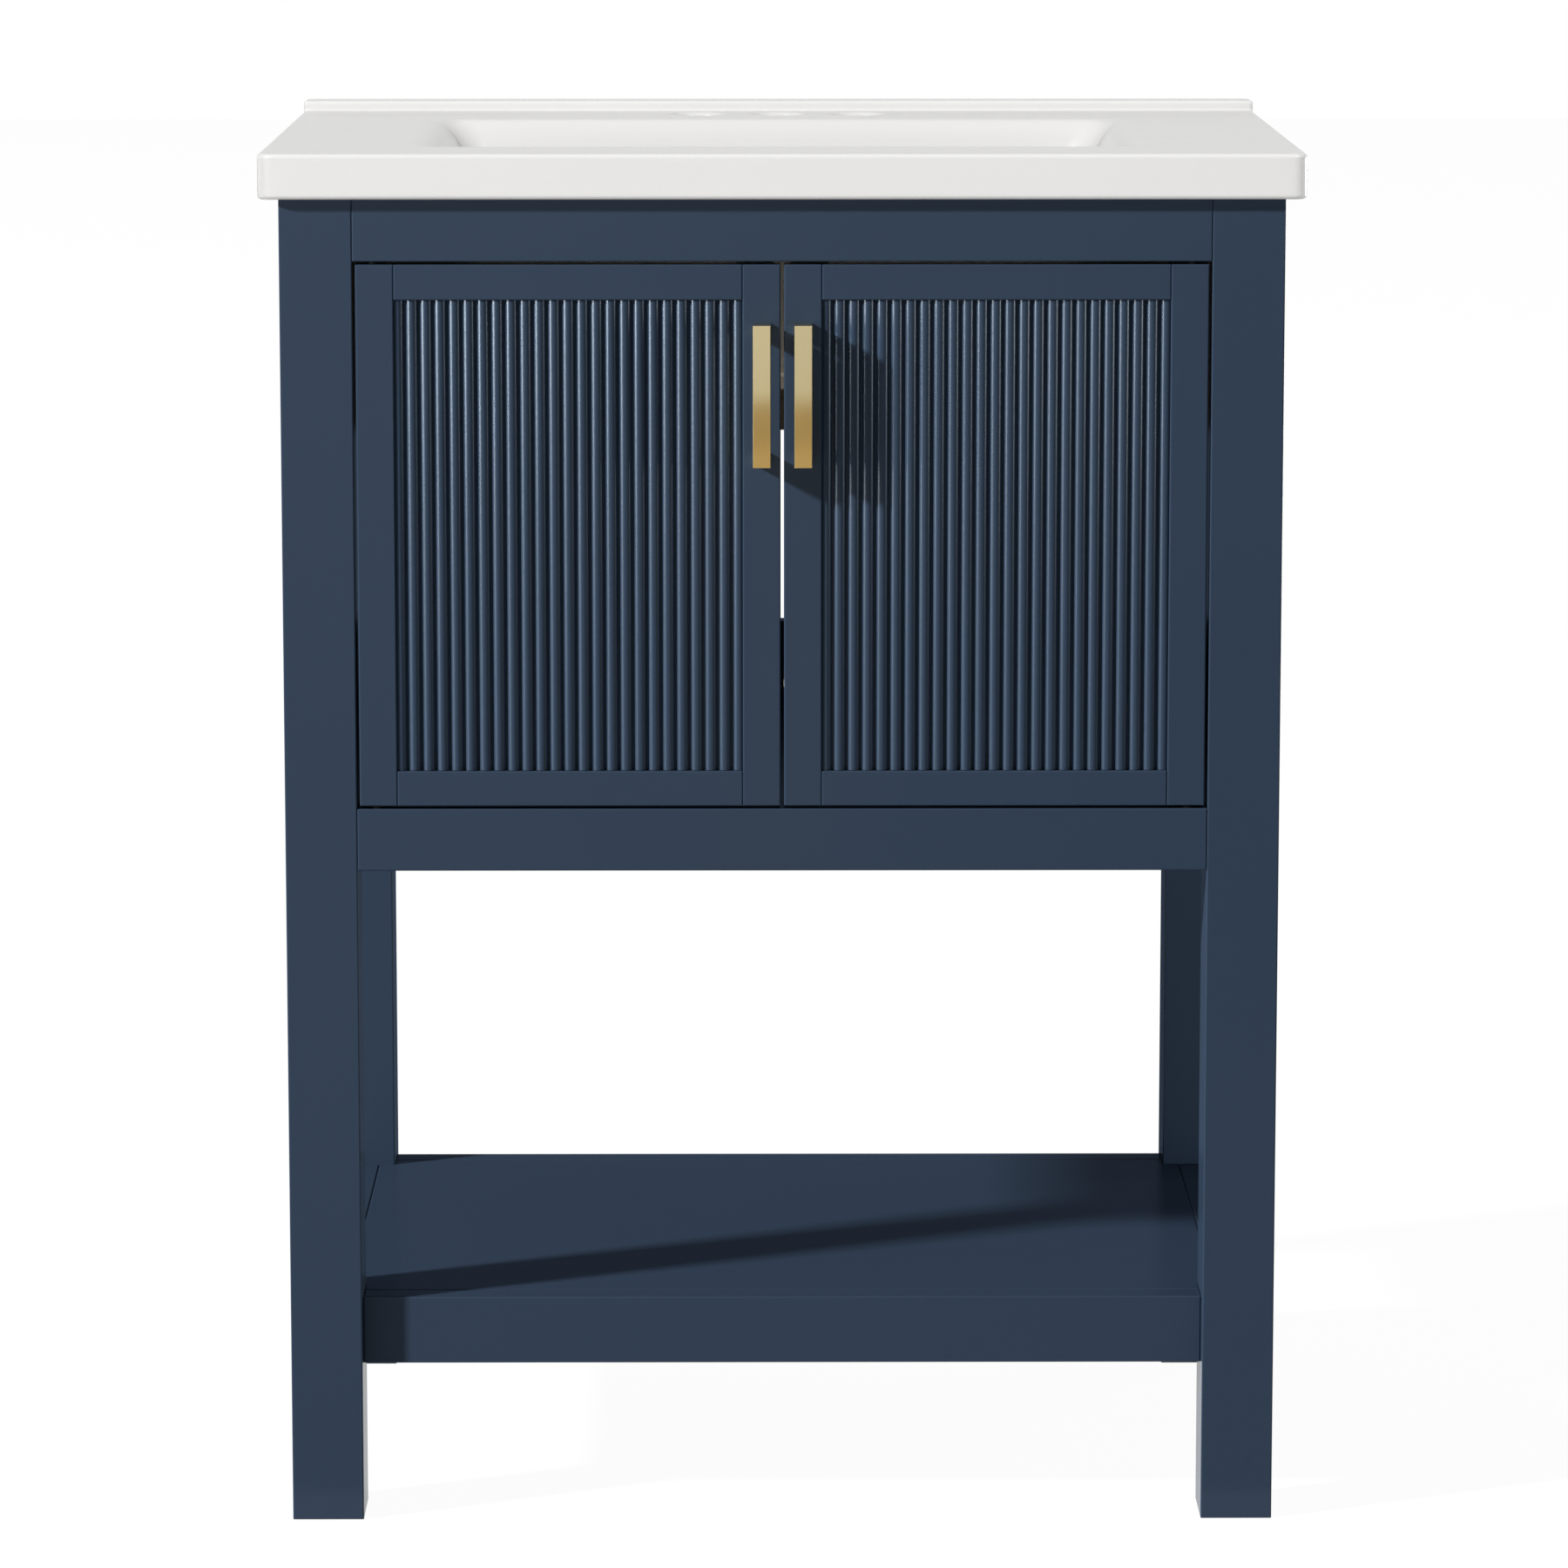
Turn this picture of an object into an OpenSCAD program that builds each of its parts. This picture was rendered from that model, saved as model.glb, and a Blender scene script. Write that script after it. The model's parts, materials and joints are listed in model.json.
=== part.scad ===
// Two-door bathroom vanity on four square legs, with an open lower shelf,
// reeded door panels and a one-piece ceramic basin top.
// Millimetres, +Z up, the doors face -Y, and the origin is on the floor.

/* [Carcass] */
// Width across the outer faces of the legs
body_w = 586; // [500:1:900]
// Depth from the front faces of the legs to their back faces
body_d = 435; // [380:1:520]
// Height of the legs, from the floor to the underside of the top
body_h = 790; // [700:1:860]
// Width of each leg, seen from the front
leg_w = 42.5; // [36:0.5:60]
// Depth of each leg, front to back
leg_d = 46; // [40:0.5:60]
// Radius on the edges of the painted wood
arris = 0.9; // [0.5:0.1:1.5]
// Height of the rail above the doors
top_rail_h = 36.5; // [25:0.5:60]
// Height of the rail below the doors
bottom_rail_h = 37; // [25:0.5:60]
// Thickness of the rails round the doors
face_rail_t = 20; // [18:0.5:24]
// Height of the door opening
opening_h = 322.5; // [260:0.5:360]

/* [Cabinet box] */
// Thickness of the side panels
side_panel_t = 15; // [12:0.5:20]
// Distance of the side panels behind the outer faces of the legs
side_panel_setback = 8; // [4:0.5:14]
// Thickness of the cabinet floor
floor_t = 12; // [9:0.5:18]
// Gap between the cabinet floor and what it fits between
floor_fit = 0.3; // [0.1:0.1:1]
// Side of the square battens under the floor and the shelf board
batten = 15; // [10:0.5:20]
// Thickness of the back rails
back_rail_t = 15; // [12:0.5:20]
// Distance of the back rails in front of the back faces of the legs
back_rail_setback = 8; // [2:0.5:16]
// Height of the upper back rail
upper_back_h = 178; // [80:1:200]
// Height of the lower back rail
lower_back_h = 94; // [60:1:120]
// Leg length of the wooden corner blocks under the top
corner_block_leg = 52; // [40:1:70]
// Height of the corner blocks
corner_block_h = 30; // [20:1:45]
// Distance from each leg to the screw of its corner block
block_screw_x = 14; // [10:0.5:18]
// Length of wood under the head of each corner block screw
block_screw_grip = 20; // [14:0.5:26]

/* [Tenons] */
// Thickness of every tenon
tenon_t = 8; // [6:0.5:10]
// Length of every tenon
tenon_l = 14; // [8:0.5:15]
// Height of wood left above and below each tenon
tenon_shoulder = 5; // [3:0.5:8]
// Gap round each tenon in its mortise
mortise_fit = 0.15; // [0.05:0.05:0.4]

/* [Shelf] */
// Height of the shelf surface above the floor
shelf_z = 133.5; // [90:0.5:220]
// Height of the rails round the shelf
shelf_rail_h = 40.5; // [30:0.5:60]
// Thickness of the rails round the shelf
shelf_rail_t = 19; // [15:0.5:22]
// Distance of the shelf rails behind the faces of the legs
shelf_setback = 13; // [4:0.5:16]
// Thickness of the shelf board
shelf_t = 12; // [9:0.5:18]
// Gap between the shelf board and what it fits between
shelf_fit = 0.4; // [0.2:0.1:1]

/* [Doors] */
// Gap between each door and the frame round it
reveal = 1.7; // [1.5:0.1:3]
// Gap between the two doors
meeting_gap = 2; // [1.6:0.1:4]
// Thickness of the doors
door_t = 20; // [18:0.5:24]
// Width of the door stiles
stile_w = 22.2; // [20:0.1:60]
// Height of the door rails
door_rail_h = 20.8; // [18:0.1:60]
// Distance from one reed to the next
reed_pitch = 8.29; // [6:0.01:16]
// Height of each reed above the groove floor
reed_h = 3.2; // [2:0.1:3.6]
// Width of the flat floor of the groove between two reeds
reed_groove_w = 1; // [0.6:0.1:2]
// Distance of the crests of the reeds behind the front of the door
reed_recess = 1.2; // [0.6:0.1:3]
// Depth of the tongue round the panel
tongue_l = 6; // [4:0.5:9]
// Thickness of the tongue round the panel
tongue_t = 6; // [4:0.5:8]
// Gap round the tongue in its groove
tongue_fit = 0.2; // [0.1:0.05:0.5]

/* [Door pivots] */
// Distance of each pivot from the outer edge of its door
pivot_inset = 10; // [9:0.5:14]
// Distance of each pivot behind the front of the door
pivot_depth = 5; // [4.5:0.1:5.4]
// Diameter of the pivot pins
pin_d = 4; // [3:0.5:5]
// Gap round each pin in its bush
pin_fit = 0.05; // [0.02:0.01:0.1]
// Outside diameter of the pivot bushes
bush_d = 7; // [6.5:0.1:8]
// Length of the pivot bushes
bush_l = 12; // [8:0.5:20]
// Depth of each pin in its face rail
pin_hold = 14; // [8:0.5:20]
// Gap between the collar of each pin and the door
collar_fit = 0.35; // [0.3:0.05:0.5]

/* [Pulls] */
// Distance between the screw holes of a pull
pull_centres = 76; // [64:1:128]
// Width of a pull, seen from the front
pull_w = 10.6; // [8:0.1:14]
// Height of the two posts of a pull
pull_post_h = 7; // [6:0.1:12]
// Thickness of the bar of a pull
pull_bar_t = 7; // [5:0.1:10]
// Distance from the door to the front of a pull
pull_reach = 20; // [16:0.5:35]
// Distance from the top of the door down to the top of a pull
pull_drop = 34; // [20:1:80]
// Diameter of the machine screws that hold a pull
pull_screw_d = 4; // [3.5:0.1:5]

/* [Basin top] */
// Overhang of the top past the legs at each side
side_overhang = 12; // [6:0.5:20]
// Overhang of the top past the legs at the front
front_overhang = 8; // [4:0.5:24]
// Overhang of the top past the legs at the back
back_overhang = 14; // [0:0.5:24]
// Height of the front face of the top
top_t = 26.5; // [20:0.5:40]
// Thickness of the ceramic deck
deck_t = 14; // [10:0.5:18]
// Width of the downturned edge that rests on the carcass
apron_w = 27; // [26:0.5:40]
// Radius of the upright corners of the top
top_corner_r = 9; // [6:0.5:16]
// Radius on the edges of the ceramic
ceramic_arris = 2.5; // [1.5:0.1:3]
// Height of the lip along the back of the deck
lip_h = 6.5; // [5.5:0.5:20]
// Thickness of the lip along the back of the deck
lip_t = 23; // [18:0.5:30]
// Width of the bowl at the deck
bowl_w = 452; // [380:1:500]
// Length of the bowl at the deck, front to back
bowl_l = 286; // [240:1:310]
// Distance from the front of the top to the bowl
bowl_front = 65; // [45:1:90]
// Depth of the bowl below the deck
bowl_depth = 130; // [100:1:150]
// Distance that the side walls of the bowl lean in
bowl_lean_side = 75; // [50:1:100]
// Distance that the front and back walls of the bowl lean in
bowl_lean_front = 42; // [30:1:70]
// Radius of the corners of the bowl at the deck, seen from above
bowl_rim_r = 14; // [10:1:30]
// Radius of the corners of the bowl at the edge of its floor, seen from above
bowl_floor_r = 30; // [20:1:45]
// Thickness of the wall of the bowl
bowl_wall = 9; // [7:0.5:12]
// Diameter of the drain hole
drain_d = 44.5; // [40:0.5:50]
// Height of the boss round the drain hole, below the bowl
drain_boss_h = 12; // [8:0.5:20]
// Distance between the centres of neighbouring tap holes
tap_pitch = 50.8; // [50:0.1:102]
// Diameter of the tap holes
tap_hole_d = 32; // [28:0.5:36]
// Width of the soft rim round each tap hole
tap_rim_w = 3.2; // [2:0.1:5]
// Distance of the tap holes in front of the lip
tap_to_lip = 34; // [30:1:60]
// Diameter of the overflow hole
overflow_d = 20; // [15:0.5:26]
// Distance of the overflow hole below the deck
overflow_drop = 42; // [35:1:60]

/* [Catches and screws] */
// Width of each catch
catch_w = 22; // [16:0.5:30]
// Depth of each catch, front to back
catch_d = 14; // [10:0.5:20]
// Distance from the middle of the cabinet to the middle of each catch
catch_x = 16; // [12:0.5:40]
// Height of the strike plate on each door
strike_h = 13; // [10:0.5:20]
// Thickness of the strike plates
strike_t = 1.2; // [0.8:0.1:2]
// Gap between each magnet and its strike plate
catch_gap = 0.4; // [0.3:0.1:1]
// Diameter of the wood screws
wood_screw_d = 4; // [3:0.5:5]
// Diameter of the heads of the wood screws
wood_screw_head_d = 8; // [6:0.5:10]
// Depth of each wood screw in the rail that it holds to
wood_screw_bite = 10; // [6:0.5:14]

/* [Hidden] */

LEFT = -1;
RIGHT = 1;
FRONT = -1;
REAR = 1;
ROUND = 48;
EASE_ROUND = 16;
cut = 1;

// Fineness and shape of the loft of the bowl
RING_POINTS = 56;
WALL_RINGS = 14;
FLOOR_RINGS = 3;
FLOOR_FALL = 3;

// Small parts of fasteners and fittings
pull_arris = 0.5;
pull_screw_bite = 12;
pull_screw_play = 0.4;
pull_screw_head_h = 2.4;
wood_screw_head_h = 3;
overflow_channel_w = 44;
strike_stud_d = 3;
strike_stud_l = 8;
strike_margin = 1;
catch_flange_t = 4;
catch_flange_h = 17;
catch_drop = 14;
catch_base_h = 4;
catch_roof = 1;
catch_screw_rise = 11;
magnet_d = 8;
magnet_l = 5;
pin_reach = bush_l - 2;
tongue_depth = 3;

paint = [0.16, 0.22, 0.30];
raw_wood = [0.62, 0.50, 0.36];
ceramic = [0.93, 0.93, 0.92];
brass_gold = [0.76, 0.63, 0.36];
steel = [0.70, 0.71, 0.73];
catch_plastic = [0.85, 0.84, 0.80];

// Where the main faces lie
overall_d = pull_reach + body_d + back_overhang;
front_y = pull_reach - overall_d / 2;
back_y = front_y + body_d;
half_w = body_w / 2;
inner_half_w = half_w - leg_w;
clear_w = 2 * inner_half_w;
opening_top_z = body_h - top_rail_h;
opening_z = opening_top_z - opening_h;
bottom_rail_z = opening_z - bottom_rail_h;
box_h = body_h - bottom_rail_z;
back_rail_y = back_y - back_rail_setback - back_rail_t;
side_panel_x = half_w - side_panel_setback - side_panel_t;
shelf_rail_z = shelf_z - shelf_rail_h;
shelf_rail_y = front_y + shelf_setback;
shelf_rear_rail_y = back_y - shelf_setback - shelf_rail_t;
shelf_side_x = half_w - shelf_setback - shelf_rail_t;

// Doors
door_h = opening_h - 2 * reveal;
door_w = (clear_w - 2 * reveal - meeting_gap) / 2;
door_z = opening_z + reveal;
door_outer_x = inner_half_w - reveal;
door_inner_x = meeting_gap / 2;
door_back_y = front_y + door_t;
panel_w = door_w - 2 * stile_w;
panel_h = door_h - 2 * door_rail_h;
panel_z = door_z + door_rail_h;
panel_x = door_inner_x + stile_w;
groove_floor_y = front_y + reed_recess + reed_h;
tongue_y = groove_floor_y + tongue_depth;
pivot_x = door_outer_x - pivot_inset;
pivot_y = front_y + pivot_depth;
pull_x = door_inner_x + stile_w / 2;
pull_top_z = door_z + door_h - pull_drop;
pull_h = pull_centres + pull_post_h;
pull_mid_z = pull_top_z - pull_h / 2;

// Basin top
top_w = body_w + 2 * side_overhang;
top_d = body_d + front_overhang + back_overhang;
top_front_y = front_y - front_overhang;
deck_z = body_h + top_t;
bowl_y = top_front_y + bowl_front + bowl_l / 2;
bowl_floor_z = deck_z - bowl_depth;
lip_y = top_front_y + top_d - lip_t;
tap_y = lip_y - tap_to_lip;
overflow_z = deck_z - overflow_drop;

// ---------------------------------------------------------------- shared shapes

// A rectangle from the origin with round corners, made of straight and round pieces
module round_rect(w, h, r) {
    translate([r, 0]) square([w - 2 * r, h]);
    translate([0, r]) square([w, h - 2 * r]);
    for (x = [r, w - r], y = [r, h - r])
        translate([x, y]) circle(r, $fn = EASE_ROUND);
}

// A board with every edge eased, standing from the origin
module eased_board(size, r = arris) {
    intersection() {
        linear_extrude(size.z) round_rect(size.x, size.y, r);
        rotate([90, 0, 90]) linear_extrude(size.x) round_rect(size.y, size.z, r);
        translate([0, size.y, 0])
            rotate([90, 0, 0]) linear_extrude(size.y) round_rect(size.x, size.z, r);
    }
}

// The same board, given by its lowest and highest corners
module eased_span(low, high, r = arris) {
    translate(low) eased_board(high - low, r);
}

module span(low, high) {
    translate(low) cube(high - low);
}

// A shape drawn for the right side, put on the chosen side
module on_side(side) {
    if (side == RIGHT) children();
    else mirror([1, 0, 0]) children();
}

module bore(at, d, depth) {
    translate(at) cylinder(d = d, h = depth, $fn = ROUND);
}

// ---------------------------------------------------------------- legs and rails

// Tenon zones: grow = 0 is the tenon, grow = mortise_fit is its mortise.
// x_tenon runs along X at the right end of a rail, y_tenon along Y towards a leg.
module x_tenon(y, t, z, h, grow = 0) {
    span([inner_half_w - cut, y + (t - tenon_t) / 2 - grow, z + tenon_shoulder - grow],
         [inner_half_w + tenon_l + grow, y + (t + tenon_t) / 2 + grow,
          z + h - tenon_shoulder + grow]);
}

module y_tenon(end, x, t, z, h, grow = 0) {
    shoulder_y = end == FRONT ? front_y + leg_d : back_y - leg_d;
    far_y = shoulder_y + end * (tenon_l + grow);
    near_y = shoulder_y - end * cut;
    span([x + (t - tenon_t) / 2 - grow, min(near_y, far_y), z + tenon_shoulder - grow],
         [x + (t + tenon_t) / 2 + grow, max(near_y, far_y), z + h - tenon_shoulder + grow]);
}

module leg(side, end) {
    y = end == FRONT ? front_y : back_y - leg_d;
    on_side(side)
        difference() {
            eased_span([inner_half_w, y, 0], [half_w, y + leg_d, body_h]);
            y_tenon(end, side_panel_x, side_panel_t, bottom_rail_z, box_h, mortise_fit);
            y_tenon(end, shelf_side_x, shelf_rail_t, shelf_rail_z, shelf_rail_h, mortise_fit);
            if (end == FRONT) {
                x_tenon(front_y, face_rail_t, opening_top_z, top_rail_h, mortise_fit);
                x_tenon(front_y, face_rail_t, bottom_rail_z, bottom_rail_h, mortise_fit);
                x_tenon(shelf_rail_y, shelf_rail_t, shelf_rail_z, shelf_rail_h, mortise_fit);
            } else {
                x_tenon(back_rail_y, back_rail_t, body_h - upper_back_h, upper_back_h, mortise_fit);
                x_tenon(back_rail_y, back_rail_t, bottom_rail_z, lower_back_h, mortise_fit);
                x_tenon(shelf_rear_rail_y, shelf_rail_t, shelf_rail_z, shelf_rail_h, mortise_fit);
            }
        }
}

// A rail along X between two legs, with a tenon at each end
module cross_rail(y, t, z, h) {
    eased_span([-inner_half_w, y, z], [inner_half_w, y + t, z + h]);
    for (side = [LEFT, RIGHT])
        on_side(side) x_tenon(y, t, z, h);
}

// A rail or panel along Y between two legs, with a tongue at each end
module side_rail(side, x, t, z, h) {
    on_side(side) {
        eased_span([x, front_y + leg_d, z], [x + t, back_y - leg_d, z + h]);
        for (end = [FRONT, REAR])
            y_tenon(end, x, t, z, h);
    }
}

module face_rail(z, h, pin_z) {
    difference() {
        cross_rail(front_y, face_rail_t, z, h);
        for (side = [LEFT, RIGHT])
            bore([side * pivot_x, pivot_y, pin_z], pin_d, pin_hold + cut);
    }
}

module leg_front_left() { color(paint) leg(LEFT, FRONT); }
module leg_front_right() { color(paint) leg(RIGHT, FRONT); }
module leg_rear_left() { color(paint) leg(LEFT, REAR); }
module leg_rear_right() { color(paint) leg(RIGHT, REAR); }

module face_rail_top() {
    color(paint) difference() {
        face_rail(opening_top_z, top_rail_h, opening_top_z - cut);
        for (side = [LEFT, RIGHT]) {
            block_screw(side, FRONT);
            catch_screw(side);
        }
    }
}

module face_rail_bottom() {
    color(paint) face_rail(bottom_rail_z, bottom_rail_h, opening_z - pin_hold);
}

module side_panel_left() {
    color(paint) side_rail(LEFT, side_panel_x, side_panel_t, bottom_rail_z, box_h);
}

module side_panel_right() {
    color(paint) side_rail(RIGHT, side_panel_x, side_panel_t, bottom_rail_z, box_h);
}

module back_rail_upper() {
    color(raw_wood) difference() {
        cross_rail(back_rail_y, back_rail_t, body_h - upper_back_h, upper_back_h);
        for (side = [LEFT, RIGHT])
            block_screw(side, REAR);
    }
}

module back_rail_lower() {
    color(paint) cross_rail(back_rail_y, back_rail_t, bottom_rail_z, lower_back_h);
}

// ---------------------------------------------------------------- floor and shelf

// A board that fills the space inside the rails, notched round the four legs
module notched_board(half_x, low_y, high_y, low_z, high_z, gap) {
    difference() {
        eased_span([-half_x + gap, low_y + gap, low_z], [half_x - gap, high_y - gap, high_z]);
        for (side = [LEFT, RIGHT], end = [FRONT, REAR])
            leg_notch(side, end, low_z - cut, high_z + cut, gap);
    }
}

module leg_notch(side, end, low_z, high_z, gap) {
    low_y = end == FRONT ? front_y - cut : back_y - leg_d - gap;
    high_y = end == FRONT ? front_y + leg_d + gap : back_y + cut;
    on_side(side)
        span([inner_half_w - gap, low_y, low_z], [half_w + cut, high_y, high_z]);
}

// A square batten along Y under a board, against the inner face of a side
module side_batten(side, x, top_z) {
    on_side(side)
        eased_span([x - batten, front_y + leg_d + batten, top_z - batten],
                   [x, back_y - leg_d - batten, top_z]);
}

module cabinet_floor() {
    color(paint) notched_board(side_panel_x, front_y + face_rail_t, back_rail_y,
                               opening_z - floor_t, opening_z, floor_fit);
}

module floor_battens() {
    color(paint) for (side = [LEFT, RIGHT])
        side_batten(side, side_panel_x, opening_z - floor_t);
}

module shelf_board() {
    color(paint) notched_board(shelf_side_x, shelf_rail_y + shelf_rail_t, shelf_rear_rail_y,
                               shelf_z - shelf_t, shelf_z, shelf_fit);
}

module shelf_battens() {
    color(paint) for (side = [LEFT, RIGHT])
        side_batten(side, shelf_side_x, shelf_z - shelf_t);
}

module shelf_rail_front() {
    color(paint) cross_rail(shelf_rail_y, shelf_rail_t, shelf_rail_z, shelf_rail_h);
}

module shelf_rail_rear() {
    color(paint) cross_rail(shelf_rear_rail_y, shelf_rail_t, shelf_rail_z, shelf_rail_h);
}

module shelf_rail_left() {
    color(paint) side_rail(LEFT, shelf_side_x, shelf_rail_t, shelf_rail_z, shelf_rail_h);
}

module shelf_rail_right() {
    color(paint) side_rail(RIGHT, shelf_side_x, shelf_rail_t, shelf_rail_z, shelf_rail_h);
}

// ---------------------------------------------------------------- corner blocks

// Face that a corner block is fixed to: the back of the top rail or the front of the back rail
function block_face_y(end) = end == FRONT ? front_y + face_rail_t : back_rail_y;

// A wood screw along Y: its shank reaches past face_y by the bite, and its head sits grip away.
// head_space lengthens the head into a clearance hole.
module wood_screw(x, face_y, z, end, grip, head_space = 0) {
    translate([x, face_y, z])
        rotate([end * 90, 0, 0]) {
            translate([0, 0, -wood_screw_bite])
                cylinder(d = wood_screw_d, h = wood_screw_bite + grip, $fn = ROUND);
            translate([0, 0, grip])
                cylinder(d = wood_screw_head_d, h = wood_screw_head_h + head_space, $fn = ROUND);
        }
}

module block_screw(side, end, head_space = 0) {
    wood_screw(side * (inner_half_w - block_screw_x), block_face_y(end),
               body_h - corner_block_h / 2, end, block_screw_grip, head_space);
}

// A triangular block in one upper corner, its square corner towards the leg
module corner_block(side, end) {
    translate([side * inner_half_w, block_face_y(end), body_h - corner_block_h])
        linear_extrude(corner_block_h)
            polygon([[0, 0], [-side * corner_block_leg, 0], [0, -end * corner_block_leg]]);
}

module corner_blocks() {
    color(raw_wood) for (side = [LEFT, RIGHT], end = [FRONT, REAR])
        difference() {
            corner_block(side, end);
            block_screw(side, end, corner_block_leg);
        }
}

module corner_block_screws() {
    color(steel) for (side = [LEFT, RIGHT], end = [FRONT, REAR])
        block_screw(side, end);
}

// ---------------------------------------------------------------- basin top

// The bowl is lofted through rings with rounded corners. At t = 0 the ring lies on the deck,
// at t = 1 it is the edge of the floor, and the drop follows a soft S between them.
function wall_drop(t) = bowl_depth * pow(sin(90 * t), 3.4);

// One ring, leaned in by the share t and then shrunk towards the drain by the factor k.
// Each quarter of its points rounds one corner.
function bowl_ring(t, k, z, grow) =
    let (r = bowl_rim_r + (bowl_floor_r - bowl_rim_r) * t + grow,
         a = bowl_w / 2 - bowl_lean_side * t + grow - r,
         b = bowl_l / 2 - bowl_lean_front * t + grow - r)
    [for (i = [0 : RING_POINTS - 1])
        let (q = 360 * (i + 0.5) / RING_POINTS)
        [k * (a * sign(cos(q)) + r * cos(q)),
         bowl_y + k * (b * sign(sin(q)) + r * sin(q)), z]];

// Rings from the rim to the drain; grow and sink move them outwards and down by the wall
function bowl_rings(grow, sink) = concat(
    [for (i = [0 : WALL_RINGS])
        let (t = i / WALL_RINGS)
        bowl_ring(t, 1, deck_z - wall_drop(t) - sink, grow)],
    [for (i = [1 : FLOOR_RINGS - 1])
        let (k = 1 - i / FLOOR_RINGS)
        bowl_ring(1, k, bowl_floor_z - sink - FLOOR_FALL * (1 - k * k), grow)]);

// A closed solid through a stack of rings, with a flat lid and a pointed bottom
module loft(rings, bottom) {
    n = len(rings[0]);
    m = len(rings);
    points = concat([for (ring = rings, p = ring) p], [bottom]);
    polyhedron(points, concat(
        [[for (i = [n - 1 : -1 : 0]) i]],
        [for (j = [0 : m - 2], i = [0 : n - 1])
            [j * n + i, j * n + (i + 1) % n, (j + 1) * n + (i + 1) % n]],
        [for (j = [0 : m - 2], i = [0 : n - 1])
            [j * n + i, (j + 1) * n + (i + 1) % n, (j + 1) * n + i]],
        [for (i = [0 : n - 1])
            [(m - 1) * n + i, (m - 1) * n + (i + 1) % n, m * n]]));
}

module bowl_hollow() {
    rings = bowl_rings(0, 0);
    lid = [for (p = rings[0]) [p.x, p.y, deck_z + cut]];
    loft(concat([lid], rings), [0, bowl_y, bowl_floor_z - FLOOR_FALL]);
}

module bowl_shell() {
    loft(bowl_rings(bowl_wall, bowl_wall), [0, bowl_y, bowl_floor_z - FLOOR_FALL - bowl_wall]);
}

// The slab: round upright corners, eased edges, hollow underneath inside its downturned edge
module slab() {
    difference() {
        intersection() {
            translate([-top_w / 2, top_front_y, body_h])
                eased_board([top_w, top_d, top_t], ceramic_arris);
            translate([-top_w / 2, top_front_y, body_h])
                linear_extrude(top_t) round_rect(top_w, top_d, top_corner_r);
        }
        span([-top_w / 2 + apron_w, top_front_y + apron_w, body_h - cut],
             [top_w / 2 - apron_w, top_front_y + top_d - apron_w, deck_z - deck_t]);
    }
}

// The lip rises from the back of the slab, as wide as the slab
module back_lip() {
    intersection() {
        translate([-top_w / 2, lip_y, deck_z - ceramic_arris - cut])
            eased_board([top_w, lip_t, lip_h + ceramic_arris + cut], ceramic_arris);
        translate([-top_w / 2, lip_y - top_corner_r, body_h])
            linear_extrude(top_t + lip_h)
                round_rect(top_w, lip_t + top_corner_r, top_corner_r);
    }
}

// The channel that leads the overflow down behind the bowl
module overflow_channel() {
    wall_y = bowl_y + bowl_l / 2;
    span([-overflow_channel_w / 2, wall_y - bowl_lean_front, bowl_floor_z - bowl_wall / 2],
         [overflow_channel_w / 2, wall_y + bowl_wall, deck_z - deck_t + cut]);
}

module tap_hole(x) {
    bore([x, tap_y, deck_z - deck_t - cut], tap_hole_d, deck_t + 2 * cut);
    translate([x, tap_y, deck_z - tap_rim_w])
        cylinder(d1 = tap_hole_d, d2 = tap_hole_d + 2 * (tap_rim_w + cut),
                 h = tap_rim_w + cut, $fn = ROUND);
}

module basin_top() {
    drain_z = bowl_floor_z - FLOOR_FALL - bowl_wall - drain_boss_h;
    color(ceramic) difference() {
        union() {
            slab();
            back_lip();
            bowl_shell();
            overflow_channel();
            bore([0, bowl_y, drain_z], drain_d + 2 * bowl_wall, drain_boss_h + bowl_wall);
        }
        bowl_hollow();
        bore([0, bowl_y, drain_z - cut], drain_d, bowl_depth);
        for (i = [-1, 0, 1])
            tap_hole(i * tap_pitch);
        translate([0, bowl_y, overflow_z])
            rotate([-90, 0, 0]) cylinder(d = overflow_d, h = bowl_l / 2 - bowl_wall, $fn = ROUND);
    }
}

// ---------------------------------------------------------------- doors

// Every door part is drawn for the right door; the left door is its mirror image.

module hinge_stile() {
    difference() {
        door_stile(door_outer_x - stile_w);
        for (z = bush_zs())
            bore([pivot_x, pivot_y, z - cut], bush_d, bush_l + 2 * cut);
    }
}

// The pivot bushes lie in the two ends of the hinge stile
function bush_zs() = [door_z, door_z + door_h - bush_l];

module latch_stile() {
    difference() {
        door_stile(door_inner_x);
        pull_screw_holes();
        strike_stud();
    }
}

module door_stile(x) {
    difference() {
        eased_span([x, front_y, door_z], [x + stile_w, door_back_y, door_z + door_h]);
        panel_groove();
    }
}

module door_rail(z) {
    difference() {
        eased_span([panel_x, front_y, z], [panel_x + panel_w, door_back_y, z + door_rail_h]);
        panel_groove();
    }
}

// Space for the tongue of the panel in the stiles and rails
module panel_groove() {
    tongue_zone(tongue_fit);
}

module tongue_zone(grow) {
    span([panel_x - tongue_l - grow, tongue_y - grow, panel_z - tongue_l - grow],
         [panel_x + panel_w + tongue_l + grow, tongue_y + tongue_t + grow,
          panel_z + panel_h + tongue_l + grow]);
}

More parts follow.
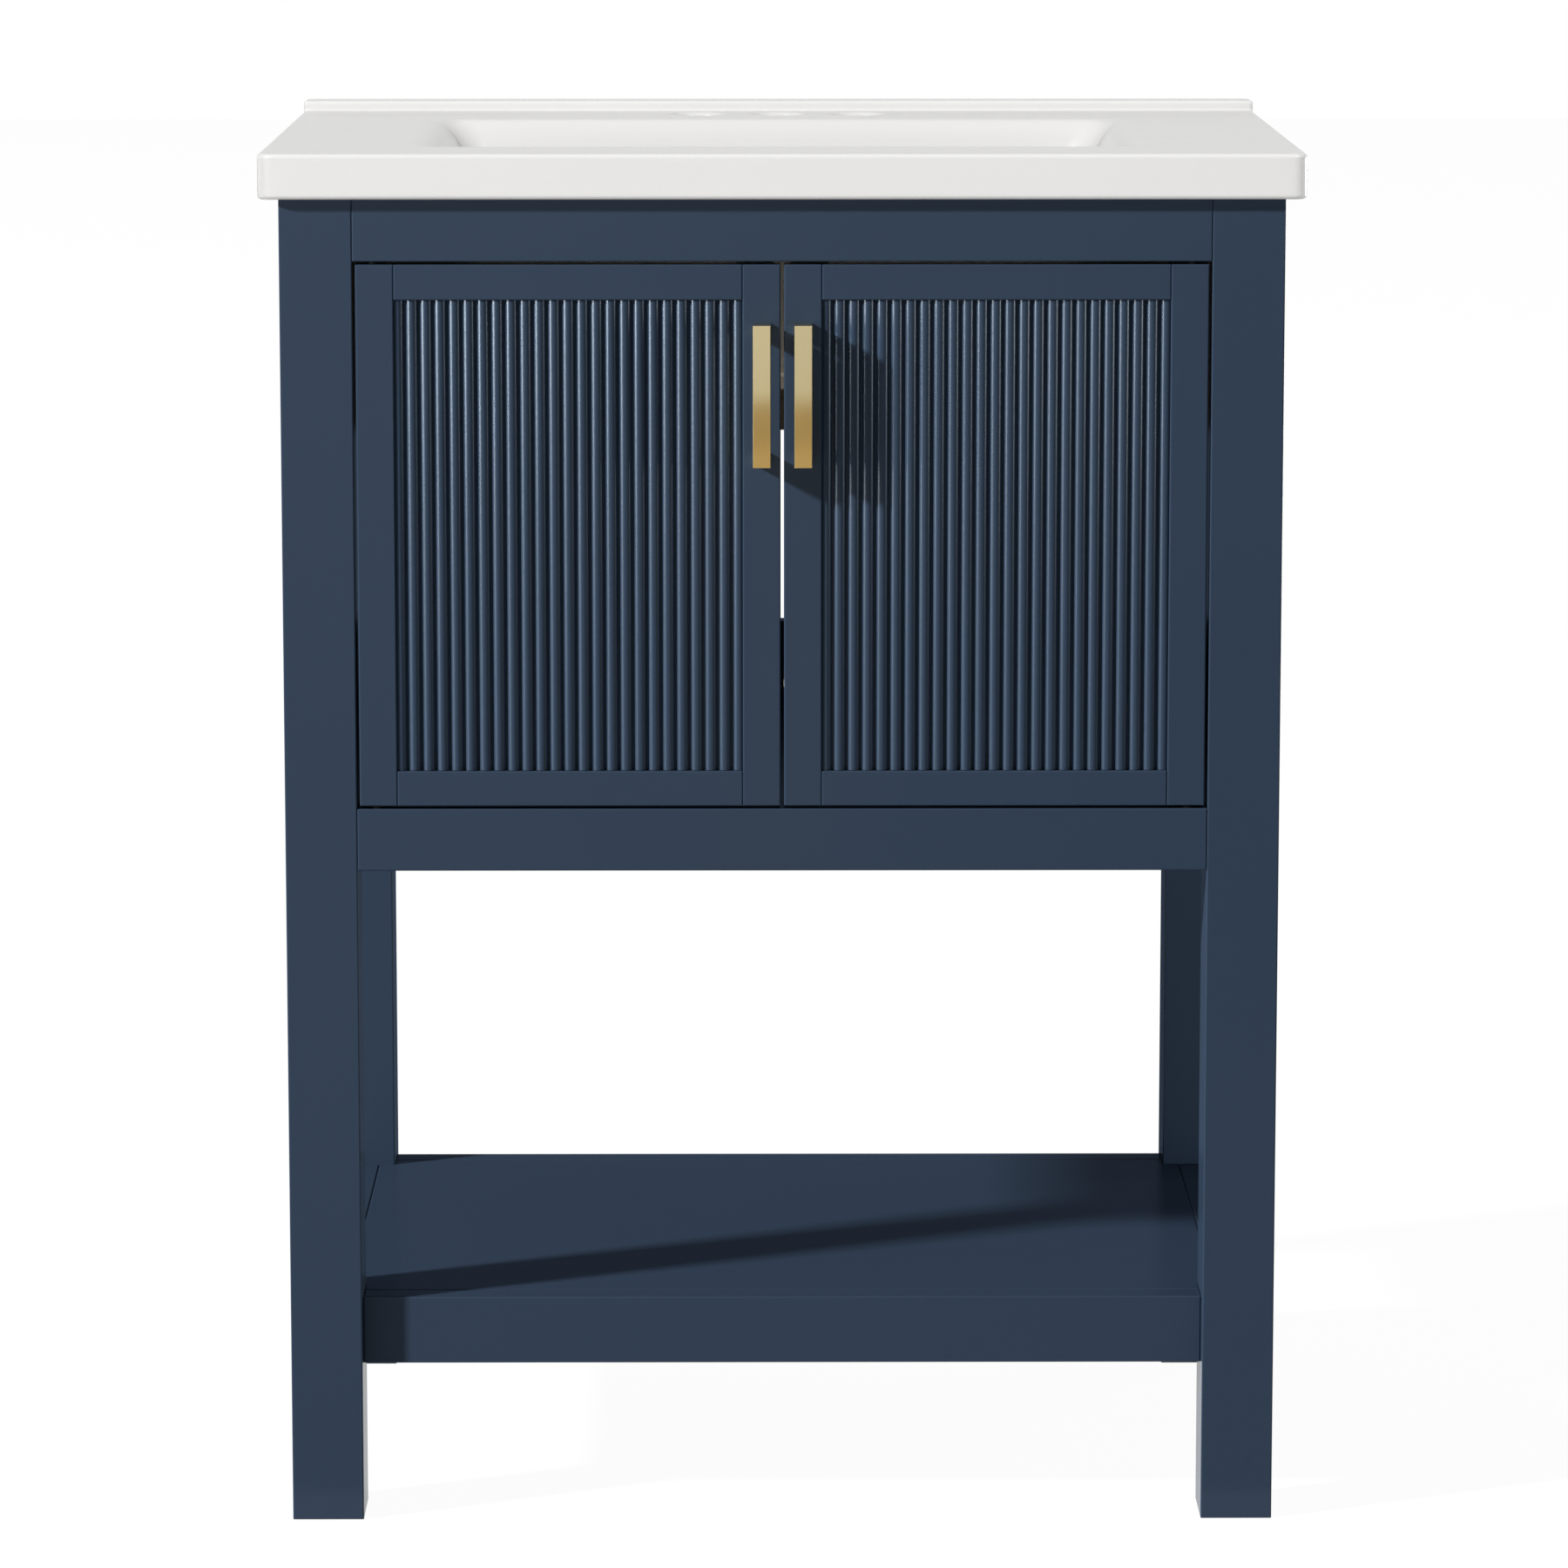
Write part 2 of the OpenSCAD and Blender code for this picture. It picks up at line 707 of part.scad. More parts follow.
// The reeds are round bars that stand out of the flat board by reed_h
module reeded_panel() {
    reed_half_w = (reed_pitch - reed_groove_w) / 2;
    reed_r = (pow(reed_half_w, 2) + pow(reed_h, 2)) / (2 * reed_h);
    reeds = ceil(panel_w / reed_pitch / 2);
    low = [panel_x + tongue_fit, panel_z + tongue_fit];
    high = [panel_x + panel_w - tongue_fit, panel_z + panel_h - tongue_fit];
    mid_x = panel_x + panel_w / 2;
    tongue_zone(0);
    translate([0, 0, low.y])
        linear_extrude(high.y - low.y) {
            translate([low.x, groove_floor_y])
                square([high.x - low.x, door_back_y - groove_floor_y]);
            intersection() {
                translate([low.x, front_y])
                    square([high.x - low.x, door_back_y - front_y]);
                for (i = [-reeds : reeds])
                    translate([mid_x + i * reed_pitch, groove_floor_y - reed_h + reed_r])
                        circle(reed_r, $fn = ROUND);
            }
        }
}

module pivot_bushes() {
    for (z = bush_zs())
        difference() {
            bore([pivot_x, pivot_y, z], bush_d, bush_l);
            bore([pivot_x, pivot_y, z - cut], pin_d + 2 * pin_fit, bush_l + 2 * cut);
        }
}

module pull() {
    half = pull_w / 2;
    low_z = pull_top_z - pull_h;
    difference() {
        union() {
            eased_span([pull_x - half, front_y - pull_reach, low_z],
                       [pull_x + half, front_y - pull_reach + pull_bar_t, pull_top_z], pull_arris);
            for (z = [low_z, pull_top_z - pull_post_h])
                eased_span([pull_x - half, front_y - pull_reach + pull_arris, z],
                           [pull_x + half, front_y, z + pull_post_h], pull_arris);
        }
        for (side = [-1, 1])
            pull_screw_shank(side);
    }
}

// A machine screw along Y, through the stile and into the post of the pull
module pull_screw_shank(side) {
    translate([pull_x, front_y - pull_screw_bite, pull_mid_z + side * pull_centres / 2])
        rotate([-90, 0, 0])
            cylinder(d = pull_screw_d, h = pull_screw_bite + door_t, $fn = ROUND);
}

module pull_screw_holes() {
    for (side = [-1, 1])
        translate([pull_x, front_y - cut, pull_mid_z + side * pull_centres / 2])
            rotate([-90, 0, 0])
                cylinder(d = pull_screw_d + pull_screw_play, h = door_t + 2 * cut, $fn = ROUND);
}

module pull_screws() {
    for (side = [-1, 1]) {
        pull_screw_shank(side);
        translate([pull_x, door_back_y, pull_mid_z + side * pull_centres / 2])
            rotate([-90, 0, 0]) cylinder(d = 2 * pull_screw_d, h = pull_screw_head_h, $fn = ROUND);
    }
}

// A steel plate on the back of the latch stile, with a stud in the stile
module strike_plate() {
    half = catch_w / 2 - strike_margin;
    span([catch_x - half, door_back_y, strike_top_z() - strike_h],
         [catch_x + half, door_back_y + strike_t, strike_top_z()]);
    strike_stud();
}

function strike_top_z() = door_z + door_h - strike_margin;

module strike_stud() {
    translate([catch_x, door_back_y - strike_stud_l, strike_top_z() - strike_h / 2])
        rotate([-90, 0, 0])
            cylinder(d = strike_stud_d, h = strike_stud_l + strike_t / 2, $fn = ROUND);
}

// ---------------------------------------------------------------- pivots and catches

// A pin stands in the face rail and turns in the bush of the door, with a collar between them
module pivot_pin(side, rail_z, up) {
    translate([side * pivot_x, pivot_y, rail_z])
        rotate([up > 0 ? 0 : 180, 0, 0]) {
            translate([0, 0, -pin_hold])
                cylinder(d = pin_d, h = pin_hold + reveal + pin_reach, $fn = ROUND);
            cylinder(d = bush_d, h = reveal - collar_fit, $fn = ROUND);
        }
}

module door_pivot_pins() {
    color(steel) for (side = [LEFT, RIGHT]) {
        pivot_pin(side, opening_z, 1);
        pivot_pin(side, opening_top_z, -1);
    }
}

// The catch hangs behind the top rail: a flange on the rail and a block behind the door
module catch_body(side) {
    jaw_y = door_back_y + strike_t + catch_gap - (front_y + face_rail_t);
    translate([side * catch_x - catch_w / 2, front_y + face_rail_t, opening_top_z])
        rotate([90, 0, 90])
            linear_extrude(catch_w)
                polygon([[jaw_y, -catch_drop], [catch_d, -catch_drop], [catch_d, catch_base_h],
                         [catch_flange_t, catch_base_h], [catch_flange_t, catch_flange_h],
                         [0, catch_flange_h], [0, catch_roof], [jaw_y, catch_roof]]);
}

module catch_magnet(side) {
    magnet_y = door_back_y + strike_t + catch_gap;
    translate([side * catch_x, magnet_y, opening_top_z - catch_drop / 2 - catch_roof])
        rotate([-90, 0, 0]) cylinder(d = magnet_d, h = magnet_l, $fn = ROUND);
}

module catch_screw(side, head_space = 0) {
    wood_screw(side * catch_x, front_y + face_rail_t, opening_top_z + catch_screw_rise, FRONT,
               catch_flange_t, head_space);
}

module magnetic_catches() {
    color(catch_plastic) for (side = [LEFT, RIGHT])
        difference() {
            catch_body(side);
            catch_magnet(side);
            catch_screw(side);
        }
}

module catch_magnets() {
    color(steel) for (side = [LEFT, RIGHT]) catch_magnet(side);
}

module catch_screws() {
    color(steel) for (side = [LEFT, RIGHT]) catch_screw(side);
}

// ---------------------------------------------------------------- the two doors

module left_door_hinge_stile() { color(paint) on_side(LEFT) hinge_stile(); }
module left_door_latch_stile() { color(paint) on_side(LEFT) latch_stile(); }
module left_door_top_rail() { color(paint) on_side(LEFT) door_rail(panel_z + panel_h); }
module left_door_bottom_rail() { color(paint) on_side(LEFT) door_rail(door_z); }
module left_door_reeded_panel() { color(paint) on_side(LEFT) reeded_panel(); }
module left_door_pivot_bushes() { color(steel) on_side(LEFT) pivot_bushes(); }
module left_door_pull() { color(brass_gold) on_side(LEFT) pull(); }
module left_door_pull_screws() { color(steel) on_side(LEFT) pull_screws(); }
module left_door_strike_plate() { color(steel) on_side(LEFT) strike_plate(); }

module right_door_hinge_stile() { color(paint) on_side(RIGHT) hinge_stile(); }
module right_door_latch_stile() { color(paint) on_side(RIGHT) latch_stile(); }
module right_door_top_rail() { color(paint) on_side(RIGHT) door_rail(panel_z + panel_h); }
module right_door_bottom_rail() { color(paint) on_side(RIGHT) door_rail(door_z); }
module right_door_reeded_panel() { color(paint) on_side(RIGHT) reeded_panel(); }
module right_door_pivot_bushes() { color(steel) on_side(RIGHT) pivot_bushes(); }
module right_door_pull() { color(brass_gold) on_side(RIGHT) pull(); }
module right_door_pull_screws() { color(steel) on_side(RIGHT) pull_screws(); }
module right_door_strike_plate() { color(steel) on_side(RIGHT) strike_plate(); }

leg_front_left();
leg_front_right();
leg_rear_left();
leg_rear_right();
face_rail_top();
face_rail_bottom();
side_panel_left();
side_panel_right();
back_rail_upper();
back_rail_lower();
cabinet_floor();
corner_blocks();
corner_block_screws();
floor_battens();
shelf_rail_front();
shelf_rail_rear();
shelf_rail_left();
shelf_rail_right();
shelf_battens();
shelf_board();
basin_top();
door_pivot_pins();
magnetic_catches();
catch_magnets();
catch_screws();
left_door_hinge_stile();
left_door_latch_stile();
left_door_top_rail();
left_door_bottom_rail();
left_door_reeded_panel();
left_door_pivot_bushes();
left_door_pull();
left_door_pull_screws();
left_door_strike_plate();
right_door_hinge_stile();
right_door_latch_stile();
right_door_top_rail();
right_door_bottom_rail();
right_door_reeded_panel();
right_door_pivot_bushes();
right_door_pull();
right_door_pull_screws();
right_door_strike_plate();
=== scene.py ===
# %% [markdown]
# # A bathroom vanity with reeded doors
#
# This lesson dresses a small bathroom vanity: a navy wooden carcass on four square legs, two
# doors with reeded panels and gold bar pulls, an open shelf, and a glazed ceramic basin top.
# The carpentry comes from a CAD model that is loaded as a fixed frame. What we add here are
# the finishes, the soft ceramic shape, the light and the camera. All lengths are in metres,
# X runs to the right, Y runs from the doors to the wall, and Z runs up from the floor.

import json
from math import pi, radians

import bmesh
import bpy
import numpy as np
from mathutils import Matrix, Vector
from mathutils.geometry import tessellate_polygon


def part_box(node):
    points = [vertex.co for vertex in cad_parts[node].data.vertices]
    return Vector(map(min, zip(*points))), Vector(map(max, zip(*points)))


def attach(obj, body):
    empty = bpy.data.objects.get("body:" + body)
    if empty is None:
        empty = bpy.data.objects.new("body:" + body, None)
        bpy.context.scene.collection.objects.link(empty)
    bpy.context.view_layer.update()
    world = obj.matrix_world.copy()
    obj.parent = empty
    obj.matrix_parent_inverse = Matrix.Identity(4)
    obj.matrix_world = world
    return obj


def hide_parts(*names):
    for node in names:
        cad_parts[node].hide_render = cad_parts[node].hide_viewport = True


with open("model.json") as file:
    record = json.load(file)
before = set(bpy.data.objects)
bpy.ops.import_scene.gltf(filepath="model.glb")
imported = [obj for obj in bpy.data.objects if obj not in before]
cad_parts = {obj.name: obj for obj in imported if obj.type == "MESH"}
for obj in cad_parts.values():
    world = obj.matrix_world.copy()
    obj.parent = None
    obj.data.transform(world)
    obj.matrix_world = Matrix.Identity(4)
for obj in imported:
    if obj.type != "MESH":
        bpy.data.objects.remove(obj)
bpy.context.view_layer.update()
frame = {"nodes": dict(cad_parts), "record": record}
nodes = frame["nodes"]

# %% [markdown]
# ## Where things are
#
# Every place comes from the CAD pieces themselves, so that the scene follows the model if a
# size changes. The front faces of the legs are the plane that the camera is aimed at.

# %% Main planes and sizes
leg_low, leg_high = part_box("leg_front_left")
top_low, top_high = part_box("basin_top")
front_y = leg_low.y
body_h = leg_high.z
print("leg fronts at y =", round(front_y, 4), "and underside of the top at z =", round(body_h, 4))

# %% [markdown]
# ## The camera
#
# Furniture is best seen from far away through a long lens, so that upright edges stay almost
# parallel. The camera stands about four metres in front of the doors, a little left of the
# middle, above the basin, and looks slightly down.

# %% Camera
CAMERA_X = -0.0226
CAMERA_DISTANCE = 3.959
CAMERA_HEIGHT = 1.0693
CAMERA_PITCH = radians(8.95)
CAMERA_YAW = radians(0.341)
CAMERA_LENS_MM = 156.24
SENSOR_MM = 36.0

camera_data = bpy.data.cameras.new("camera")
camera_data.lens = CAMERA_LENS_MM
camera_data.sensor_width = SENSOR_MM
camera = bpy.data.objects.new("camera", camera_data)
bpy.context.scene.collection.objects.link(camera)
camera.location = (CAMERA_X, front_y - CAMERA_DISTANCE, CAMERA_HEIGHT)
camera.rotation_euler = (pi / 2 - CAMERA_PITCH, 0.0, -CAMERA_YAW)
bpy.context.scene.camera = camera
print("camera at", [round(v, 3) for v in camera.location])

# %% [markdown]
# ## A small language for shaders
#
# A material is a graph of nodes. Long lists of "make a node, set it, link it" are hard to
# read, so one class wraps a socket and lets us write arithmetic on it, and another wraps the
# material and adds any other node with one call: its type, its settings, and its inputs.

# %% Arithmetic on sockets
class Wire:
    """One output of a node. Arithmetic on it adds Math nodes to its material."""

    def __init__(self, finish, socket):
        self.finish, self.socket = finish, socket

    def math(self, operation, *values, clamp=False):
        inputs = dict(enumerate((self,) + values))
        return self.finish.add("Math", {"operation": operation, "use_clamp": clamp}, inputs)

    def __add__(self, other):
        return self.math("ADD", other)

    def __sub__(self, other):
        return self.math("SUBTRACT", other)

    def __mul__(self, other):
        return self.math("MULTIPLY", other)

    def __rsub__(self, other):
        return self.finish.add("Math", {"operation": "SUBTRACT"}, {0: other, 1: self})

    __radd__ = __add__
    __rmul__ = __mul__


print("a wire knows", [name for name in vars(Wire) if name.startswith("__r")])

# %% Nodes of a material
class Finish:
    """A material that is built by adding nodes."""

    def __init__(self, name):
        self.material = bpy.data.materials.new(name)
        self.material.use_nodes = True
        self.tree = self.material.node_tree
        self.tree.nodes.clear()

    def add(self, kind, settings=None, inputs=None, out=0):
        """Adds one node: its settings first, then a value or a Wire for each input."""
        node = self.tree.nodes.new("ShaderNode" + kind)
        for name, value in (settings or {}).items():
            if name == "stops":
                ramp = node.color_ramp.elements
                while len(ramp) < len(value):
                    ramp.new(0.5)
                for element, (position, colour) in zip(ramp, value):
                    element.position, element.color = position, (*colour, 1.0)
            else:
                setattr(node, name, value)
        for key, value in (inputs or {}).items():
            if isinstance(value, Wire):
                self.tree.links.new(value.socket, node.inputs[key])
            else:
                node.inputs[key].default_value = value
        return Wire(self, node.outputs[out]) if len(node.outputs) else None

    def place(self, stretch=(1.0, 1.0, 1.0), shift=(0.0, 0.0, 0.0)):
        """The object's own coordinates in metres, stretched and shifted."""
        own = self.add("TexCoord", out="Object")
        return self.add("Mapping", {}, {"Vector": own, "Scale": stretch, "Location": shift})

    def noise(self, where, scale, detail=3.0, roughness=0.5, distortion=0.0):
        inputs = {"Vector": where, "Scale": scale, "Detail": detail, "Roughness": roughness}
        inputs["Distortion"] = distortion
        return self.add("TexNoise", {"noise_dimensions": "3D"}, inputs)

    def mix(self, factor, low, high):
        """A colour between two colours."""
        low, high = ((*c, 1.0) if isinstance(c, tuple) else c for c in (low, high))
        return self.add("Mix", {"data_type": "RGBA"}, {0: factor, 6: low, 7: high}, out=2)

    def bump(self, height, distance, strength=1.0):
        inputs = {"Height": height, "Distance": distance, "Strength": strength}
        return self.add("Bump", {}, inputs)

    def surface(self, **inputs):
        """Ends the material in one Principled shader and returns the material."""
        named = {name.replace("_", " "): value for name, value in inputs.items()}
        shader = self.add("BsdfPrincipled", {}, named)
        self.add("OutputMaterial", {}, {"Surface": shader})
        return self.material


print("a finish can", [name for name in vars(Finish) if not name.startswith("_")])

# %% [markdown]
# ## Satin navy paint
#
# The carcass and the doors are hardwood and fibreboard under a sprayed satin lacquer. Sprayed
# paint is never a flat colour: it drifts slightly in tone, keeps a fine orange peel, and lets
# a trace of the grain through along the length of each board. The grain runs along a board,
# so the same recipe is made three times, once for each direction. The reeded panels get a
# fourth version that is smoother and a little duller, because on a round bar the smallest
# waves would make the bright line wander.

# %% Paint recipe
NAVY = (0.0285, 0.0470, 0.0790)
NAVY_LIGHT = (0.0320, 0.0518, 0.0860)
NAVY_WARM = (0.0280, 0.0458, 0.0760)
NAVY_GLOSS = 0.13
ALONG_GRAIN = 0.06
DOOR_PAINT_ROUGHNESS, REED_PAINT_ROUGHNESS = 0.20, 0.27
ORANGE_PEEL, REED_ORANGE_PEEL = 0.00002, 0.000008


def navy_paint(axis, name="navy_paint_", rough=DOOR_PAINT_ROUGHNESS, orange_peel=ORANGE_PEEL):
    """Satin paint on a board whose grain runs along one axis, 0, 1 or 2.

    Tone = navy, mixed towards a lighter navy by broad noise and towards a warmer one by
    streaks along the grain. Height = fine noise for the orange peel plus stretched noise for
    the grain, times a depth in metres. Roughness = a base plus the broad noise and streaks.
    """
    finish = Finish(name + "xyz"[axis])
    stretch = [1.0, 1.0, 1.0]
    stretch[axis] = ALONG_GRAIN
    board = finish.place(tuple(stretch), (0.13 * axis, 0.07, 0.0))
    whole = finish.place()
    broad = finish.noise(whole, 7.0, 2.0)
    streaks = finish.noise(board, 260.0, 4.0, 0.6, 0.4)
    peel = finish.noise(whole, 900.0, 1.0)
    tone = finish.mix(broad * 0.7, NAVY, NAVY_LIGHT)
    tone = finish.mix(streaks * 0.35, tone, NAVY_WARM)
    relief = finish.bump(streaks * 0.55 + peel * 0.45, orange_peel, 0.5)
    return finish.surface(
        Base_Color=tone, Roughness=streaks * 0.05 + broad * 0.03 + rough,
        Specular_IOR_Level=NAVY_GLOSS, Normal=relief)


paints = [navy_paint(axis) for axis in range(3)]
reed_paint = navy_paint(2, "navy_reed_paint_", REED_PAINT_ROUGHNESS, REED_ORANGE_PEEL)
print([paint.name for paint in paints + [reed_paint]])

# %% [markdown]
# ## Bare wood
#
# The rail behind the basin and the corner blocks are left unpainted, as they are hidden in
# use. Bare wood shows dark, narrow pores and broad bands of growth, both stretched along
# the board.

# %% Wood recipe
WOOD_PALE = (0.52, 0.42, 0.29)
WOOD_DARK = (0.33, 0.25, 0.155)
WOOD_PORE = (0.17, 0.115, 0.07)
ALONG_TIMBER = 0.07


def bare_wood(axis):
    """Unfinished timber: growth bands = noise stretched along the grain, warped by itself."""
    finish = Finish("bare_wood_" + "xyz"[axis])
    stretch = [1.0, 1.0, 1.0]
    stretch[axis] = ALONG_TIMBER
    board = finish.place(tuple(stretch), (0.3, 0.1 * axis, 0.2))
    bands = finish.noise(board, 55.0, 3.0, 0.55, 1.1)
    pores = finish.noise(board, 620.0, 2.0, 0.7)
    growth = finish.add("ValToRGB", {"stops": [(0.32, WOOD_DARK), (0.68, WOOD_PALE)]}, {0: bands})
    tone = finish.mix(pores.math("POWER", 4.0) * 1.6, growth, WOOD_PORE)
    relief = finish.bump(pores * 0.6 + bands * 0.4, 0.0002, 0.6)
    return finish.surface(
        Base_Color=tone, Roughness=pores * 0.2 + 0.55, Specular_IOR_Level=0.3, Normal=relief)


woods = [bare_wood(axis) for axis in range(3)]
print([wood.name for wood in woods])

# %% [markdown]
# ## Glazed ceramic
#
# The top is vitreous china: a warm white body under a clear glaze. The glaze is smooth but
# not flat. It pools in long, low waves, which is what makes a reflection on a basin wander.

# %% Ceramic recipe
GLAZE, GLAZE_PALE = (0.800, 0.793, 0.780), (0.825, 0.819, 0.808)


def glazed_ceramic():
    """White glaze: a very slow drift in tone, and a height of long low waves and fine skin."""
    finish = Finish("glazed_ceramic")
    whole = finish.place()
    drift = finish.noise(whole, 5.0, 2.0)
    waves = finish.noise(whole, 16.0, 1.0)
    skin = finish.noise(whole, 700.0, 1.0)
    tone = finish.mix(drift, GLAZE, GLAZE_PALE)
    relief = finish.bump(waves * 0.95 + skin * 0.02, 0.0006, 0.35)
    return finish.surface(
        Base_Color=tone, Roughness=drift * 0.05 + 0.15, Specular_IOR_Level=0.45,
        Normal=relief)


ceramic = glazed_ceramic()
print(ceramic.name)

# %% [markdown]
# ## Brushed champagne gold, zinc and blackened steel
#
# The pulls are plated bars, brushed along their length. Brushing leaves thousands of fine
# parallel scratches. They are drawn as noise that is stretched very long along the bar, and
# they shift both the height and the roughness of the metal. The same recipe in grey makes
# the zinc-plated screws and plates, and almost black it makes the door pivots, which are
# blackened here so that they don't show in the gap above a door.

# %% Metal recipes
SCRATCH_STRETCH = 120
GOLD_PALE, GOLD_DEEP = (0.78, 0.655, 0.38), (0.70, 0.59, 0.335)
ZINC_PALE, ZINC_DEEP = (0.34, 0.345, 0.35), (0.22, 0.225, 0.235)
BLACK_PALE, BLACK_DEEP = (0.020, 0.020, 0.022), (0.012, 0.012, 0.013)


def brushed_metal(name, pale, deep, scratch, rough):
    """Plated metal brushed along Z: scratches = noise that is far longer than wide.

    The scratch is the depth of one scratch in metres, and the roughness goes up from its
    base with the scratches and with a soft cloud.
    """
    finish = Finish(name)
    lines = finish.noise(finish.place((1.0, 1.0, 1 / SCRATCH_STRETCH)), 3200.0, 2.0, 0.6)
    cloud = finish.noise(finish.place(), 60.0, 2.0)
    tone = finish.mix(lines * 0.5 + cloud * 0.5, deep, pale)
    relief = finish.bump(lines, scratch, 0.5)
    return finish.surface(
        Base_Color=tone, Metallic=1.0, Roughness=lines * 0.08 + cloud * 0.03 + rough,
        Normal=relief)


gold = brushed_metal("brushed_gold", GOLD_PALE, GOLD_DEEP, 0.00003, 0.14)
steel = brushed_metal("zinc_steel", ZINC_PALE, ZINC_DEEP, 0.00003, 0.38)
black_steel = brushed_metal("blackened_steel", BLACK_PALE, BLACK_DEEP, 0.00002, 0.45)
print(gold.name, steel.name, black_steel.name)

# %% [markdown]
# ## Moulded plastic
#
# The magnetic catches inside the cabinet are small injection mouldings in an ivory plastic
# with the faint grain of a spark-eroded mould.

# %% Plastic recipe
IVORY, IVORY_PALE = (0.72, 0.70, 0.64), (0.78, 0.76, 0.71)


def moulded_plastic():
    """Ivory plastic: fine isotropic mould grain in the height and a slight tone drift."""
    finish = Finish("moulded_plastic")
    grain = finish.noise(finish.place(), 2600.0, 2.0)
    cloud = finish.noise(finish.place(), 40.0, 1.0)
    tone = finish.mix(cloud, IVORY, IVORY_PALE)
    return finish.surface(
        Base_Color=tone, Roughness=grain * 0.15 + 0.42, Normal=finish.bump(grain, 0.00004, 0.5))


plastic = moulded_plastic()
print(plastic.name)

# %% [markdown]
# ## Finishing the carpentry
#
# Each CAD piece keeps its shape and gets its finish. The record says which pieces belong to
# which slot, and the longest side of a piece tells which way its grain runs.

# %% Finishes for the CAD pieces
SLOT_FINISHES = {"navy_paint": paints, "raw_wood": woods, "white_ceramic": [ceramic] * 3,
                 "gold": [gold] * 3, "steel": [steel] * 3, "catch_plastic": [plastic] * 3}
slot_of = {part["node"]: part["material_slot"] for part in frame["record"]["subparts"]}
for name, piece in nodes.items():
    low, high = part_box(name)
    spans = [high[i] - low[i] for i in range(3)]
    finish_choice = SLOT_FINISHES[slot_of[name]][spans.index(max(spans))]
    if "pivot" in name:
        finish_choice = black_steel
    if "reeded" in name:
        finish_choice = reed_paint
    piece.data.materials.clear()
    piece.data.materials.append(finish_choice)
print({name: piece.data.materials[0].name for name, piece in nodes.items()})

# %% [markdown]
# ## The basin top
#
# The basin and its deck are one slip-cast piece of vitreous china: a thin deck with a turned
# down edge, a low lip at the wall, three holes for the taps, and a bowl that sweeps down from
# the deck in one soft curve. Sculpting or subdividing a box would lose the exact sizes, so
# the shape is worked out as loops of points. Each loop is one contour of the china. Curved
# parts are skins of four-sided faces between neighbouring loops, and flat parts are sheets
# that are filled between their border loops.

# %% Skins and sheets
SAME_POINT = 2e-6


class Skin:
    """Gathers patches of points and faces and joins them into one closed mesh."""

    def __init__(self):
        self.points, self.faces, self.count = [], [], 0

    def keep(self, points, faces):
        self.points.append(points)
        self.faces.extend((faces + self.count).tolist())
        self.count += len(points)

    def sweep(self, loops, window=None):
        """Faces between neighbouring loops, each closed on itself, apart from a window."""
        rows, columns = loops.shape[:2]
        index = np.arange(rows * columns).reshape(rows, columns)
        near, far = index[:-1], index[1:]
        quads = np.stack([near, np.roll(near, -1, 1), np.roll(far, -1, 1), far], axis=-1)
        if window is not None:
            quads = quads[~window]
        self.keep(loops.reshape(-1, 3), quads.reshape(-1, 4))

    def fill(self, *loops):
        """A flat sheet inside the first loop, with the other loops left as holes."""
        borders = [[Vector(point) for point in loop] for loop in loops]
        self.keep(np.concatenate(loops), np.array(tessellate_polygon(borders)))

    def piece(self, name, material, slot, body, sharp_angle=38.0):
        """The joined mesh as an object that is finished and rides on a body. The slot is not used.
        """
        mesh = bpy.data.meshes.new(name)
        mesh.from_pydata(np.concatenate(self.points).tolist(), [], self.faces)
        shell = bmesh.new()
        shell.from_mesh(mesh)
        bmesh.ops.remove_doubles(shell, verts=shell.verts, dist=SAME_POINT)
        bmesh.ops.recalc_face_normals(shell, faces=shell.faces)
        open_edges = sum(not edge.is_manifold for edge in shell.edges)
        shell.to_mesh(mesh)
        shell.free()
        mesh.shade_smooth()
        mesh.set_sharp_from_angle(angle=radians(sharp_angle))
        mesh.materials.append(material)
        made = bpy.data.objects.new(name, mesh)
        bpy.context.scene.collection.objects.link(made)
        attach(made, body)
        print(name, "has", len(mesh.polygons), "faces and", open_edges, "open edges")
        return made


def at_height(flat, height):
    """Gives a flat loop one height, or one height for each point."""
    return np.column_stack([flat, np.broadcast_to(height, len(flat))])


print("points closer than", SAME_POINT * 1000, "mm are joined")

# %% [markdown]
# ### Outlines
#
# The deck and the lip are rounded rectangles seen from above. The outline also keeps the
# direction that points outwards at every point, so a contour further in or out is the same
# outline moved along those directions.

# %% Rounded rectangles
def rounded_outline(low, high, front_radius, rear_radius, step=0.012):
    """A rounded rectangle, anticlockwise from the front right corner, with its directions.

    Each corner is a quarter circle in even steps. The straight sides between the corners
    are divided into even lengths of about the step.
    """
    centres, directions = [], []
    for corner, (x, y, radius) in enumerate((
            (high[0], low[1], front_radius), (high[0], high[1], rear_radius),
            (low[0], high[1], rear_radius), (low[0], low[1], front_radius))):
        turn = np.radians(np.linspace(-90, 0, 9) + 90 * corner)
        direction = np.stack([np.cos(turn), np.sin(turn)], axis=1)
        inwards = np.sign([(low[0] + high[0]) / 2 - x, (low[1] + high[1]) / 2 - y])
        centres.append(np.array([x, y]) + inwards * radius + direction * radius)
        directions.append(direction)
    points, normals = [], []
    for corner in range(4):
        start, end = centres[corner][-1], centres[(corner + 1) % 4][0]
        count = max(2, int(np.hypot(*(end - start)) / step))
        share = np.linspace(0, 1, count + 1)[1:-1, None]
        points += [centres[corner], start + (end - start) * share]
        normals += [directions[corner], np.repeat(directions[corner][-1:], count - 1, 0)]
    return np.concatenate(points), np.concatenate(normals)


def quarter(steps=6):
    """Angles of a quarter turn in even steps."""
    return np.linspace(0, pi / 2, steps + 1)


print("a quarter turn in", len(quarter()) - 1, "steps")

